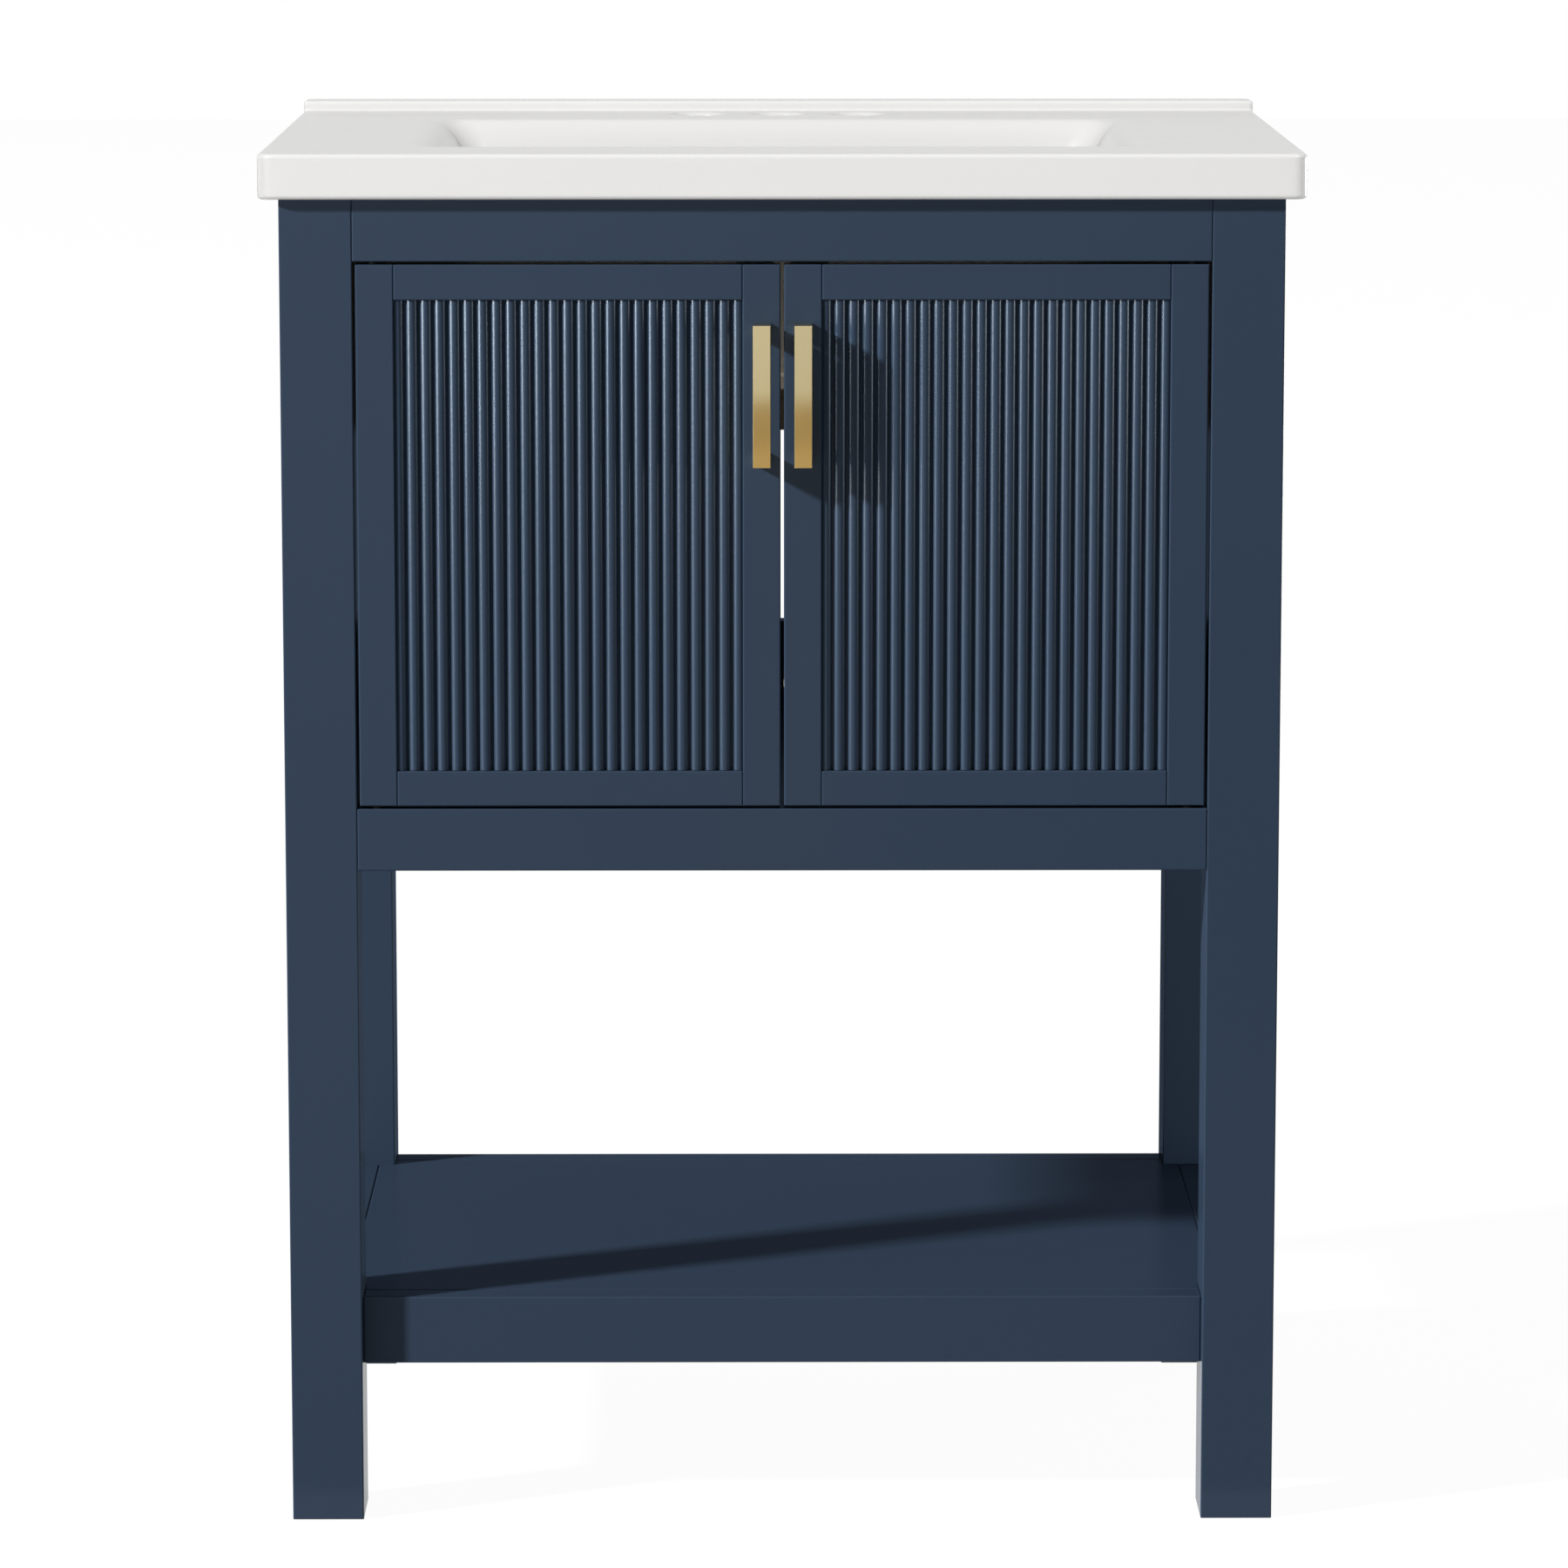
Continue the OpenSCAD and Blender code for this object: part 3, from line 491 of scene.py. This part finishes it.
# %% Sizes of the top
SUPPORT = 0.0004        # distance of the loops that hold a flat face flat
ARRIS = 0.0025          # radius of the edges
PLAN_CORNER = 0.009     # radius of the deck's corners, seen from above
DECK_THICKNESS = 0.014
APRON_INNER = 0.027     # from the edge of the deck to the inside of its turned down edge
deck_z, lip_y, tap_y = 0.8165, 0.2115, 0.1775   # deck, face of the lip, row of taps
deck_underside = deck_z - DECK_THICKNESS
half_w = top_high.x
deck_outline, deck_out = rounded_outline(top_low, top_high, PLAN_CORNER, PLAN_CORNER)
print("deck outline has", len(deck_outline), "points")

# %% [markdown]
# ### The deck and its edge
#
# The edge is rounded above and below, as a mould needs. Extra loops lie close beside every
# rounding, so that the flat faces stay flat when the shading is smoothed.

# %% Edge of the deck
APRON_CORNER = 0.002
china = Skin()
edge_profile = [(ARRIS + SUPPORT, deck_z)]
edge_profile += [(ARRIS * (1 - np.sin(a)), deck_z - ARRIS * (1 - np.cos(a))) for a in quarter()]
edge_profile += [(0.0, deck_z - ARRIS - SUPPORT), (0.0, body_h + ARRIS + SUPPORT)]
edge_profile += [(ARRIS * (1 - np.cos(a)), body_h + ARRIS * (1 - np.sin(a))) for a in quarter()]
edge_profile += [(ARRIS + SUPPORT, body_h)]
edge_loops = np.stack([at_height(deck_outline - deck_out * inset, z) for inset, z in edge_profile])
china.sweep(edge_loops)

inner_low = top_low + Vector((APRON_INNER, APRON_INNER, 0))
inner_high = top_high - Vector((APRON_INNER, APRON_INNER, 0))
apron_outline, _ = rounded_outline(inner_low, inner_high, APRON_CORNER, APRON_CORNER)
apron_loops = np.stack([at_height(apron_outline, z) for z in (body_h, deck_underside)])
china.sweep(apron_loops)
china.fill(edge_loops[-1], apron_loops[0])
print("edge loops:", len(edge_profile))

# %% [markdown]
# ### The bowl
#
# Seen from above, each contour of the bowl is a rectangle with round corners. On the way
# down it shrinks, its corners grow rounder, and it drops along a power of a sine, so it
# leaves the deck and meets the floor without a crease. Tight corners are what lets the
# light turn from one wall to the next in a short, clear line.

# %% Sizes of the bowl
BOWL_HALF = np.array([0.226, 0.143])    # half its length and width at the rim
BOWL_LEAN = np.array([0.075, 0.042])    # how far each wall comes in on the way down
BOWL_DEPTH, BOWL_WALL, FLOOR_FALL = 0.130, 0.009, 0.003
RIM_CORNER, FLOOR_CORNER, DROP_POWER = 0.014, 0.030, 3.4
DRAIN_RADIUS, BOSS_HEIGHT = 0.02225, 0.012
FRONT_DECK = 0.065      # from the front of the top to the rim of the bowl
CORNER_POINTS = 22
SHORT_SIDE, LONG_SIDE = (40, 1.0), (64, 1.6)    # faces along a side, and how they gather
bowl_y = top_low.y + FRONT_DECK + BOWL_HALF[1]
bowl_floor_z = deck_z - BOWL_DEPTH
print("the bowl's floor is at z =", round(bowl_floor_z, 4))

# %% Contours of the bowl
def contour_plan():
    """For each point of a contour: its place on the core rectangle, and its direction.

    A contour is a core rectangle that is grown by the radius of the corners. The points of
    a corner share the core's corner and spread over a quarter circle. The points of a side
    lie along the core's side, closer together at the middle of the long sides.
    """
    corners = np.array([(1, -1), (1, 1), (-1, 1), (-1, -1)], float)
    places, directions = [], []
    for k in range(4):
        turn = np.radians(np.linspace(-90, 0, CORNER_POINTS) + 90 * k)
        places.append(np.repeat(corners[k:k + 1], CORNER_POINTS, 0))
        directions.append(np.stack([np.cos(turn), np.sin(turn)], axis=1))
        count, gather = (SHORT_SIDE, LONG_SIDE)[k % 2]
        along = np.linspace(-1, 1, count + 1)[1:-1, None]
        along = (1 + np.sign(along) * np.abs(along) ** gather) / 2
        places.append(corners[k] + (corners[(k + 1) % 4] - corners[k]) * along)
        directions.append(np.repeat(directions[-1][-1:], count - 1, 0))
    return np.concatenate(places), np.concatenate(directions)


CORE, OUTWARDS = contour_plan()


def contour(t, grow=0.0):
    """The contour at share t of the wall: the core at its size, grown by the radius."""
    radius = RIM_CORNER + (FLOOR_CORNER - RIM_CORNER) * t + grow
    return CORE * (BOWL_HALF - BOWL_LEAN * t + grow - radius) + OUTWARDS * radius


def drop(t):
    """How far the wall has gone down at share t: depth times sin(90 t) to a power."""
    return BOWL_DEPTH * np.sin(pi / 2 * t) ** DROP_POWER


print("a contour has", len(CORE), "points")

# %% Rings and the floor
def ring(flat, height):
    """A flat contour round the middle of the bowl at one height."""
    return at_height(flat + (0, bowl_y), height)


def circle(radius, grow=0.0):
    """A circle with one point in the direction of every point of the floor's edge."""
    edge = contour(1.0, grow)
    return edge * radius / np.hypot(*edge.T)[:, None]


def floor_ring(share, hole, grow, sink):
    """A contour of the floor between its edge and a round hole, on a shallow dish."""
    edge = contour(1.0, grow)
    flat = edge * (1 - share) + circle(hole, grow) * share
    shrink = np.hypot(*flat.T) / np.hypot(*edge.T)
    return ring(flat, bowl_floor_z - sink - FLOOR_FALL * (1 - shrink ** 2))


DRAIN_MOUTH = 0.0015
wall_shares = np.linspace(0, 1, 61)
wall_loops = np.stack([ring(contour(0) + OUTWARDS * SUPPORT, deck_z)]
                      + [ring(contour(t), deck_z - drop(t)) for t in wall_shares])
floor_loops = np.stack([floor_ring(share, DRAIN_RADIUS + DRAIN_MOUTH, 0, 0)
                        for share in np.linspace(0, 1, 22)])
print("bowl contours:", len(wall_loops) + len(floor_loops))

# %% [markdown]
# ### The drain and the outside of the bowl
#
# The drain is a round hole with a soft edge and a short boss below it for the waste fitting.
# From the boss the skin runs back up outside the bowl, one wall thickness away, until it
# meets the underside of the deck.

# %% Drain, boss and outer wall
boss_z = bowl_floor_z - FLOOR_FALL - BOWL_WALL - BOSS_HEIGHT
drain_z = floor_loops[-1][:, 2].min()
boss_radius = DRAIN_RADIUS + BOWL_WALL
drain_loops = [
    ring(circle(DRAIN_RADIUS + DRAIN_MOUTH * (1 - np.sin(a))),
         drain_z - DRAIN_MOUTH * (1 - np.cos(a)))
    for a in quarter()]
drain_loops += [ring(circle(DRAIN_RADIUS), boss_z), ring(circle(boss_radius), boss_z)]
shell_floor = [floor_ring(share, boss_radius, BOWL_WALL, BOWL_WALL)
               for share in np.linspace(1, 0, 16)]
shell_top = 2 / pi * np.arcsin(((deck_z - BOWL_WALL - deck_underside) / BOWL_DEPTH)
                               ** (1 / DROP_POWER))
shell_wall = [ring(contour(t, BOWL_WALL), deck_z - BOWL_WALL - drop(t))
              for t in np.linspace(1, shell_top, 31)]
china.sweep(np.concatenate([floor_loops, drain_loops, shell_floor, shell_wall]))
print("the bowl is open for a waste of", round(2000 * DRAIN_RADIUS, 1), "mm")

# %% [markdown]
# ### The overflow hole
#
# The hole in the rear wall is a window in the skin. The window is a block of faces left out.
# The space between its border and the round rim is filled with loops that stay on the wall:
# for a place across and a height, the wall's own formula gives the depth.

# %% Overflow
OVERFLOW_Z, OVERFLOW_RADIUS, OVERFLOW_MOUTH = deck_z - 0.042, 0.010, 0.0010
WINDOW_HALF_WIDTH, WINDOW_HALF_HEIGHT = 0.0145, 0.0155      # of the faces left out


def on_rear_wall(x, z):
    """The point of the flat part of the rear wall at a place across and a height."""
    t = 2 / pi * np.arcsin(((deck_z - z) / BOWL_DEPTH) ** (1 / DROP_POWER))
    return np.stack([x, bowl_y + BOWL_HALF[1] - BOWL_LEAN[1] * t, z], axis=-1)


near_middle = np.abs(wall_loops[30, :, 0]) < WINDOW_HALF_WIDTH
columns = np.flatnonzero(near_middle & (OUTWARDS[:, 1] > 0.99))
heights = wall_loops[:, 0, 2]
rows = np.flatnonzero(np.abs(heights - OVERFLOW_Z) < WINDOW_HALF_HEIGHT)
left_out = np.zeros((len(wall_loops) - 1, len(CORE)), bool)
left_out[rows[0]:rows[-1], columns[0]:columns[-1]] = True
china.sweep(wall_loops, window=left_out)
block = wall_loops[rows[0]:rows[-1] + 1, columns[0]:columns[-1] + 1]
border = np.concatenate([block[0, :-1], block[:-1, -1], block[-1, :0:-1], block[:0:-1, 0]])
turn = np.arctan2(border[:, 2] - OVERFLOW_Z, border[:, 0])
rim_x = (OVERFLOW_RADIUS + OVERFLOW_MOUTH) * np.cos(turn)
rim_z = OVERFLOW_Z + (OVERFLOW_RADIUS + OVERFLOW_MOUTH) * np.sin(turn)
patch = [border] + [
    on_rear_wall(border[:, 0] * (1 - s) + rim_x * s, border[:, 2] * (1 - s) + rim_z * s)
    for s in (0.35, 0.7, 0.9, 1.0)]
for a in quarter(4)[1:]:
    around = OVERFLOW_RADIUS + OVERFLOW_MOUTH * (1 - np.sin(a))
    lip_ring = patch[4] + np.array([0, OVERFLOW_MOUTH * (1 - np.cos(a)), 0])
    lip_ring[:, 0], lip_ring[:, 2] = around * np.cos(turn), OVERFLOW_Z + around * np.sin(turn)
    patch.append(lip_ring)
hole_end = patch[-1].copy()
hole_end[:, 1] = bowl_y + BOWL_HALF[1] - BOWL_WALL
china.sweep(np.stack(patch + [hole_end]))
china.fill(hole_end)
print("overflow window:", block.shape[0] - 1, "by", block.shape[1] - 1, "faces")

# %% [markdown]
# ### Tap holes and the two sheets
#
# Each tap hole has a rounded mouth, made as loops that turn from the deck down into the
# hole. The deck and its underside are flat sheets between all the loops made so far, so
# no hole has to be cut.

# %% Tap holes and sheets
TAP_PITCH, TAP_RADIUS, TAP_MOUTH = 0.0508, 0.016, 0.0032    # mouth: radius of its edge
mouth_angles = np.linspace(0, 2 * pi, 72, endpoint=False)
mouth = np.stack([np.cos(mouth_angles), np.sin(mouth_angles)], axis=1)
tap_tops, tap_ends = [], []
for tap in (-1, 0, 1):
    centre = np.array([tap * TAP_PITCH, tap_y])
    profile = [(TAP_RADIUS + TAP_MOUTH + SUPPORT, deck_z)]
    profile += [(TAP_RADIUS + TAP_MOUTH * (1 - np.sin(a)), deck_z - TAP_MOUTH * (1 - np.cos(a)))
                for a in quarter(7)]
    profile += [(TAP_RADIUS, deck_z - TAP_MOUTH - SUPPORT), (TAP_RADIUS, deck_underside)]
    loops = np.stack([at_height(centre + mouth * radius, z) for radius, z in profile])
    china.sweep(loops)
    tap_tops.append(loops[0])
    tap_ends.append(loops[-1])
china.fill(edge_loops[0], wall_loops[0], *tap_tops)
china.fill(apron_loops[-1], shell_wall[-1], *tap_ends)
print(len(tap_tops), "tap holes", 1000 * TAP_PITCH, "mm apart")

# %% [markdown]
# ### The lip
#
# The lip is a low rounded bar along the wall with a small cove where it meets the deck,
# because glaze gathers there. It is a shell of its own: its foot is sunk in the deck, and
# it stays a hair inside the deck's edge, so that no two faces lie in one plane.

# %% Lip
HAIR, COVE, LIP_FOOT = 0.00005, 0.0014, 0.004   # gap to the deck's edge, cove, sunk foot
lip_low = (-half_w + HAIR, lip_y)
lip_high = (half_w - HAIR, top_high.y - HAIR)
lip_outline, lip_out = rounded_outline(lip_low, lip_high, ARRIS, PLAN_CORNER - HAIR)
facing_room = np.clip(-lip_out[:, 1:], 0, 1) ** 2
lip_profile = [(0.0, COVE, deck_z - LIP_FOOT)]
lip_profile += [(0.0, COVE * (1 - np.sin(a)), deck_z + COVE * (1 - np.cos(a))) for a in quarter()]
lip_profile += [(ARRIS * (1 - np.cos(a)), 0.0, top_high.z - ARRIS * (1 - np.sin(a)))
                for a in quarter()]
lip_profile += [(ARRIS + SUPPORT, 0.0, top_high.z)]
towards_room = np.array([0.0, -1.0])
lip_loops = np.stack([
    at_height(lip_outline - lip_out * inset + towards_room * facing_room * cove, z)
    for inset, cove, z in lip_profile])
china.sweep(lip_loops)
china.fill(lip_loops[0])
china.fill(lip_loops[-1])
print("the lip stands", round(1000 * (top_high.z - deck_z), 2), "mm above the deck")

# %% [markdown]
# ### The overflow passage
#
# Water that enters the overflow runs down inside the rear wall to the drain. From outside
# the passage is a shallow rib on the back of the bowl. It follows the wall: for each height
# the wall's formula gives the depth at which the rib starts.

# %% Overflow passage and the finished top
CHANNEL_HALF, CHANNEL_CORNER, CHANNEL_ROWS = 0.022, 0.003, 16
channel_heights = np.linspace(bowl_floor_z - BOWL_WALL / 2, deck_underside + 0.001, CHANNEL_ROWS)
wall_y = on_rear_wall(np.zeros(CHANNEL_ROWS), np.maximum(channel_heights, bowl_floor_z))[:, 1]
channel_rear = bowl_y + BOWL_HALF[1] + BOWL_WALL
channel_outline, _ = rounded_outline(
    (-CHANNEL_HALF, 0.0), (CHANNEL_HALF, 1.0), CHANNEL_CORNER, CHANNEL_CORNER, 0.1)
channel_loops = np.stack([
    at_height(channel_outline * (1, channel_rear - front) + (0, front), z)
    for z, front in zip(channel_heights, wall_y + BOWL_WALL / 2)])
china.sweep(channel_loops)
china.fill(channel_loops[0])
china.fill(channel_loops[-1])
basin = china.piece("ceramic_basin", ceramic, "white_ceramic", "carcass")
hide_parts("basin_top")

# %% [markdown]
# ## The floor
#
# The vanity stands on a plain pale floor. To the camera the floor is the same white as the
# background, except that it keeps a share of the shadow, so the legs stay on the ground.

# %% Floor
FLOOR_HALF = 14.0
SHADOW_SHARE = 0.08     # how much of the real shading the eye still sees
FLOOR_LIT = 0.50        # how bright the real floor comes out, as a share of its colour


def floor_finish():
    """Camera and mirror rays see white that keeps a share of the real shading."""
    finish = Finish("pale_floor")
    ray = finish.tree.nodes.new("ShaderNodeLightPath")
    seen = Wire(finish, ray.outputs["Is Camera Ray"])
    for kind in ("Is Glossy Ray", "Is Transmission Ray"):
        seen = seen.math("MAXIMUM", Wire(finish, ray.outputs[kind]))
    fleck = finish.noise(finish.place(), 30.0, 2.0)
    tone = finish.mix(fleck, (0.60, 0.60, 0.60), (0.64, 0.64, 0.64))
    plain = finish.add("BsdfDiffuse", {}, {"Color": tone})
    faint = finish.add("BsdfDiffuse", {}, {"Color": (SHADOW_SHARE,) * 3 + (1.0,)})
    glow = finish.add("Emission", {}, {"Strength": 1.0 - SHADOW_SHARE * FLOOR_LIT})
    white = finish.add("AddShader", {}, {0: faint, 1: glow})
    shown = finish.add("MixShader", {}, {0: seen, 1: plain, 2: white})
    finish.add("OutputMaterial", {}, {"Surface": shown})
    return finish.material


floor_mesh = bpy.data.meshes.new("floor")
floor_mesh.from_pydata([(x * FLOOR_HALF, y * FLOOR_HALF, 0)
                        for x, y in ((-1, -1), (1, -1), (1, 1), (-1, 1))], [], [(0, 1, 2, 3)])
floor = bpy.data.objects.new("floor", floor_mesh)
bpy.context.scene.collection.objects.link(floor)
floor.data.materials.append(floor_finish())
print("floor is", 2 * FLOOR_HALF, "m square")

# %% [markdown]
# ## The light
#
# A pale room gives a weak, even fill, and one small soft box high on the left does most of
# the work: it rakes across the doors, so every reed has a bright and a dark side and the
# pulls throw long shadows. A lamp can be linked to some pieces and leave out the rest. The
# box leaves out the white ceramic, which it would burn out.

# %% World
AMBIENT = 0.13
world = bpy.data.worlds.new("room")
world.use_nodes = True
bpy.context.scene.world = world
world.node_tree.nodes.clear()


def fill_world():
    """Camera, mirror and glass rays see plain white; matt surfaces get the softer fill."""
    tree = world.node_tree
    ray = tree.nodes.new("ShaderNodeLightPath")
    seen = ray.outputs["Is Camera Ray"]
    for kind in ("Is Glossy Ray", "Is Transmission Ray"):
        either = tree.nodes.new("ShaderNodeMath")
        either.operation = "MAXIMUM"
        tree.links.new(seen, either.inputs[0])
        tree.links.new(ray.outputs[kind], either.inputs[1])
        seen = either.outputs[0]
    level = tree.nodes.new("ShaderNodeMapRange")
    level.inputs["To Min"].default_value = AMBIENT
    level.inputs["To Max"].default_value = 1.0
    tree.links.new(seen, level.inputs["Value"])
    background = tree.nodes.new("ShaderNodeBackground")
    background.inputs["Color"].default_value = (1.0, 1.0, 1.0, 1.0)
    tree.links.new(level.outputs[0], background.inputs["Strength"])
    output = tree.nodes.new("ShaderNodeOutputWorld")
    tree.links.new(background.outputs[0], output.inputs[0])


fill_world()
print("the room gives matt surfaces", AMBIENT, "of white")

# %% [markdown]
# ### Cards for the gloss
#
# Gloss needs something to reflect. Plain cards round the vanity, which only mirrors see,
# stand for the dark, grey and warm parts of a studio. Two small gold ones hang in front of
# the pulls and give the lower part of each bar its deeper tone.

# %% Cards
GREY_BEHIND, GREY_LOW, WHITE = (0.74,) * 3, (0.45,) * 3, (1.0,) * 3
NAVY_BEHIND, DARK_BESIDE, DARK_LOW = (0.050, 0.070, 0.108), (0.02,) * 3, (0.08,) * 3
GOLD_UPPER, GOLD_LOWER = (0.45, 0.345, 0.185), (0.60, 0.46, 0.26)
WARM_FLOOR, WARM_LOW = (0.34, 0.31, 0.28), (0.60, 0.56, 0.50)
UPPER_LEFT, UPPER_MIDDLE, UPPER_RIGHT = (0.82,) * 3, (0.62,) * 3, (0.40,) * 3
FRONT_CARDS_AWAY, SIDE_CARDS_AWAY, PULL_CARDS_AWAY = 1.285, 1.9, 0.12
CARD_FLOOR, LOW_ROW_TOP, CARD_TOP = 0.02, 0.47, 2.4


def flag(name, corners, level):
    """A card of an even glow, given by its corners and its colour, that only mirrors see."""
    finish = Finish(name)
    card_glow = finish.add("Emission", {}, {"Strength": 1.0, "Color": (*level, 1.0)})
    finish.add("OutputMaterial", {}, {"Surface": card_glow})
    mesh = bpy.data.meshes.new(name)
    mesh.from_pydata(corners, [], [(0, 1, 2, 3)])
    mesh.materials.append(finish.material)
    card = bpy.data.objects.new(name, mesh)
    bpy.context.scene.collection.objects.link(card)
    card.visible_camera = card.visible_diffuse = card.visible_shadow = False
    card.visible_transmission = False
    return card


def upright(left, right, y, low, high):
    """Corners of an upright card that faces the front."""
    return [(left, y, low), (right, y, low), (right, y, high), (left, y, high)]


flag("dark_flag_behind", upright(-0.75, 0.75, top_high.y + 0.30, CARD_FLOOR, 0.76), NAVY_BEHIND)
flag("grey_flag_behind", upright(-0.95, 0.95, top_high.y + 0.32, 0.76, 1.30), GREY_BEHIND)
pull_card_y = front_y - PULL_CARDS_AWAY
flag("gold_flag_dark", upright(-0.045, 0.045, pull_card_y, 0.636, 0.664), GOLD_UPPER)
flag("gold_flag_deep", upright(-0.045, 0.045, pull_card_y, 0.35, 0.636), GOLD_LOWER)
flag("warm_flag_on_floor", [(x, front_y - y, 0.012) for x, y in (
    (-2.0, 3.0), (2.0, 3.0), (2.0, 0.02), (-2.0, 0.02))], WARM_FLOOR)
front_flags = [     # the reeds are kept from seeing these, further down
    flag("grey_flag_in_front", upright(left, right, front_y - FRONT_CARDS_AWAY, low, high), tone)
    for left, right, low, high, tone in (       # two rows, each from left to right
        (-3.0, -0.18, LOW_ROW_TOP, CARD_TOP, WHITE),
        (-3.0, -0.10, CARD_FLOOR, LOW_ROW_TOP, WARM_LOW),
        (-0.10, 0.15, CARD_FLOOR, LOW_ROW_TOP, GREY_LOW),
        (0.15, 3.0, CARD_FLOOR, LOW_ROW_TOP, DARK_LOW),
        (-0.18, 0.06, LOW_ROW_TOP, CARD_TOP, UPPER_LEFT),
        (0.06, 0.28, LOW_ROW_TOP, CARD_TOP, UPPER_MIDDLE),
        (0.28, 3.0, LOW_ROW_TOP, CARD_TOP, UPPER_RIGHT))]
for side in (-1, 1):
    flag("dark_flag_beside", [(side * SIDE_CARDS_AWAY, front_y - y, z) for y, z in (
        (0.02, CARD_FLOOR), (0.9, CARD_FLOOR), (0.9, 1.1), (0.02, 1.1))], DARK_BESIDE)
print(len(front_flags), "cards in front")

# %% [markdown]
# ### The main lamp
#
# A lamp is a rectangle at a place that looks at a point. The main one is small and far away,
# so its shadows are crisp near the piece that throws them and soft further off. Linking
# decides which pieces a lamp or a card reaches.

# %% Main lamp
def soft_box(name, place, aim, size, watts, colour=(1.0, 1.0, 1.0), glints_only=False):
    """A rectangular lamp at a place, turned to face a point. A lamp that makes glints only
    adds no light to a matt surface."""
    lamp = bpy.data.lights.new(name, "AREA")
    lamp.shape = "RECTANGLE"
    lamp.size, lamp.size_y = size
    lamp.energy, lamp.color = watts, colour
    box = bpy.data.objects.new(name, lamp)
    bpy.context.scene.collection.objects.link(box)
    box.location = place
    box.rotation_euler = (Vector(aim) - Vector(place)).to_track_quat("-Z", "Y").to_euler()
    box.visible_camera = False
    if glints_only:
        box.visible_diffuse = False
    return box


def light_only(box, pieces, leave_out=False):
    """Link a lamp to some pieces: it lights nothing but them, or everything but them."""
    group = bpy.data.collections.new(box.name + "_receivers")
    for piece in pieces:
        group.objects.link(piece)
    for member in group.collection_objects:
        member.light_linking.link_state = "EXCLUDE" if leave_out else "INCLUDE"
    box.light_linking.receiver_collection = group


KEY_WAY, KEY_SIZE, KEY_WATTS = Vector((-3.15, -1.5, 1.70)), 1.08, 3950.0
middle = Vector((0.0, front_y, 0.68))
key = soft_box("key", middle + 4 * KEY_WAY, middle, (KEY_SIZE, KEY_SIZE), KEY_WATTS)
light_only(key, [basin], leave_out=True)
print("key light", key.data.energy, "W")

# %% [markdown]
# ### Lamps for single parts
#
# Two wide lamps from the front light the ceramic alone, softly and from both sides, with a
# single bounce so that its own white walls don't wash out the bowl. Four lamps at the sides
# add no light to a matt surface: they only draw the fine bright lines on the reeds, strong
# at the top and fading downwards. The reeds don't see the cards in front, so their grooves
# stay dark. Three weak lamps open the deepest shadows: a warm one inside the cabinet, one
# for the rear legs, and one from behind for whoever walks round the vanity.

# %% Lamps for the ceramic
CHINA_LAMP_SIZE = 4.8
for name, way, watts in (("china_key", (-8.7, -8.3, 9.15), 1584.0),
                         ("china_fill", (8.7, -8.3, 9.15), 972.0)):
    box = soft_box(name, middle + Vector(way), middle, (CHINA_LAMP_SIZE,) * 2, watts)
    box.data.cycles.max_bounces = 1
    light_only(box, [basin])
print("lamps for", basin.name, "are set")

# %% Lamps for the reeds
REED_LAMP_COLOUR = (0.86, 0.97, 1.04)
UPPER_LAMP_Z, LOWER_LAMP_Z = 0.825, 0.21
panels = [nodes["left_door_reeded_panel"], nodes["right_door_reeded_panel"]]
for card in front_flags:
    light_only(card, panels, leave_out=True)
for name, x, away, z, size, watts in (     # away is the distance in front of the legs
        ("glint_left", -1.16, 0.38, UPPER_LAMP_Z, (0.50, 0.46), 62.0),
        ("glint_left_low", -1.16, 0.38, LOWER_LAMP_Z, (0.50, 0.66), 5.5),
        ("glint_right", 1.08, 0.22, UPPER_LAMP_Z, (0.26, 0.46), 18.0),
        ("glint_right_low", 1.08, 0.22, LOWER_LAMP_Z, (0.40, 0.66), 0.8)):
    box = soft_box(name, (x, front_y - away, z), (0.0, front_y, z), size, watts,
                   REED_LAMP_COLOUR, glints_only=True)
    light_only(box, panels)
print("lamps for", [panel.name for panel in panels], "are set")

# %% Lamps for the shadows
WARM_LAMP_COLOUR = (1.0, 0.9, 0.72)
inside = soft_box("inside", (0.0, -0.175, 0.50), (0.0, -0.175, 0.90), (0.30, 0.03), 0.10,
                  WARM_LAMP_COLOUR)
rear_fill = soft_box("rear_fill", (1.6, front_y - 0.9, 0.45), (0.27, 0.2, 0.3), (0.6, 0.6), 16.0)
light_only(rear_fill, [nodes["leg_rear_left"], nodes["leg_rear_right"]])
back_fill = soft_box("back_fill", (3.0, 2.4, 0.40), (0.2, 0.1, 0.40), (1.6, 0.8), 62.0)
print("inside", inside.data.energy, "W, behind", back_fill.data.energy, "W")

# %% [markdown]
# ## The view
#
# The colours are meant to come out as they are written, so the plain Standard view is used.

# %% View
bpy.context.scene.view_settings.view_transform = "Standard"
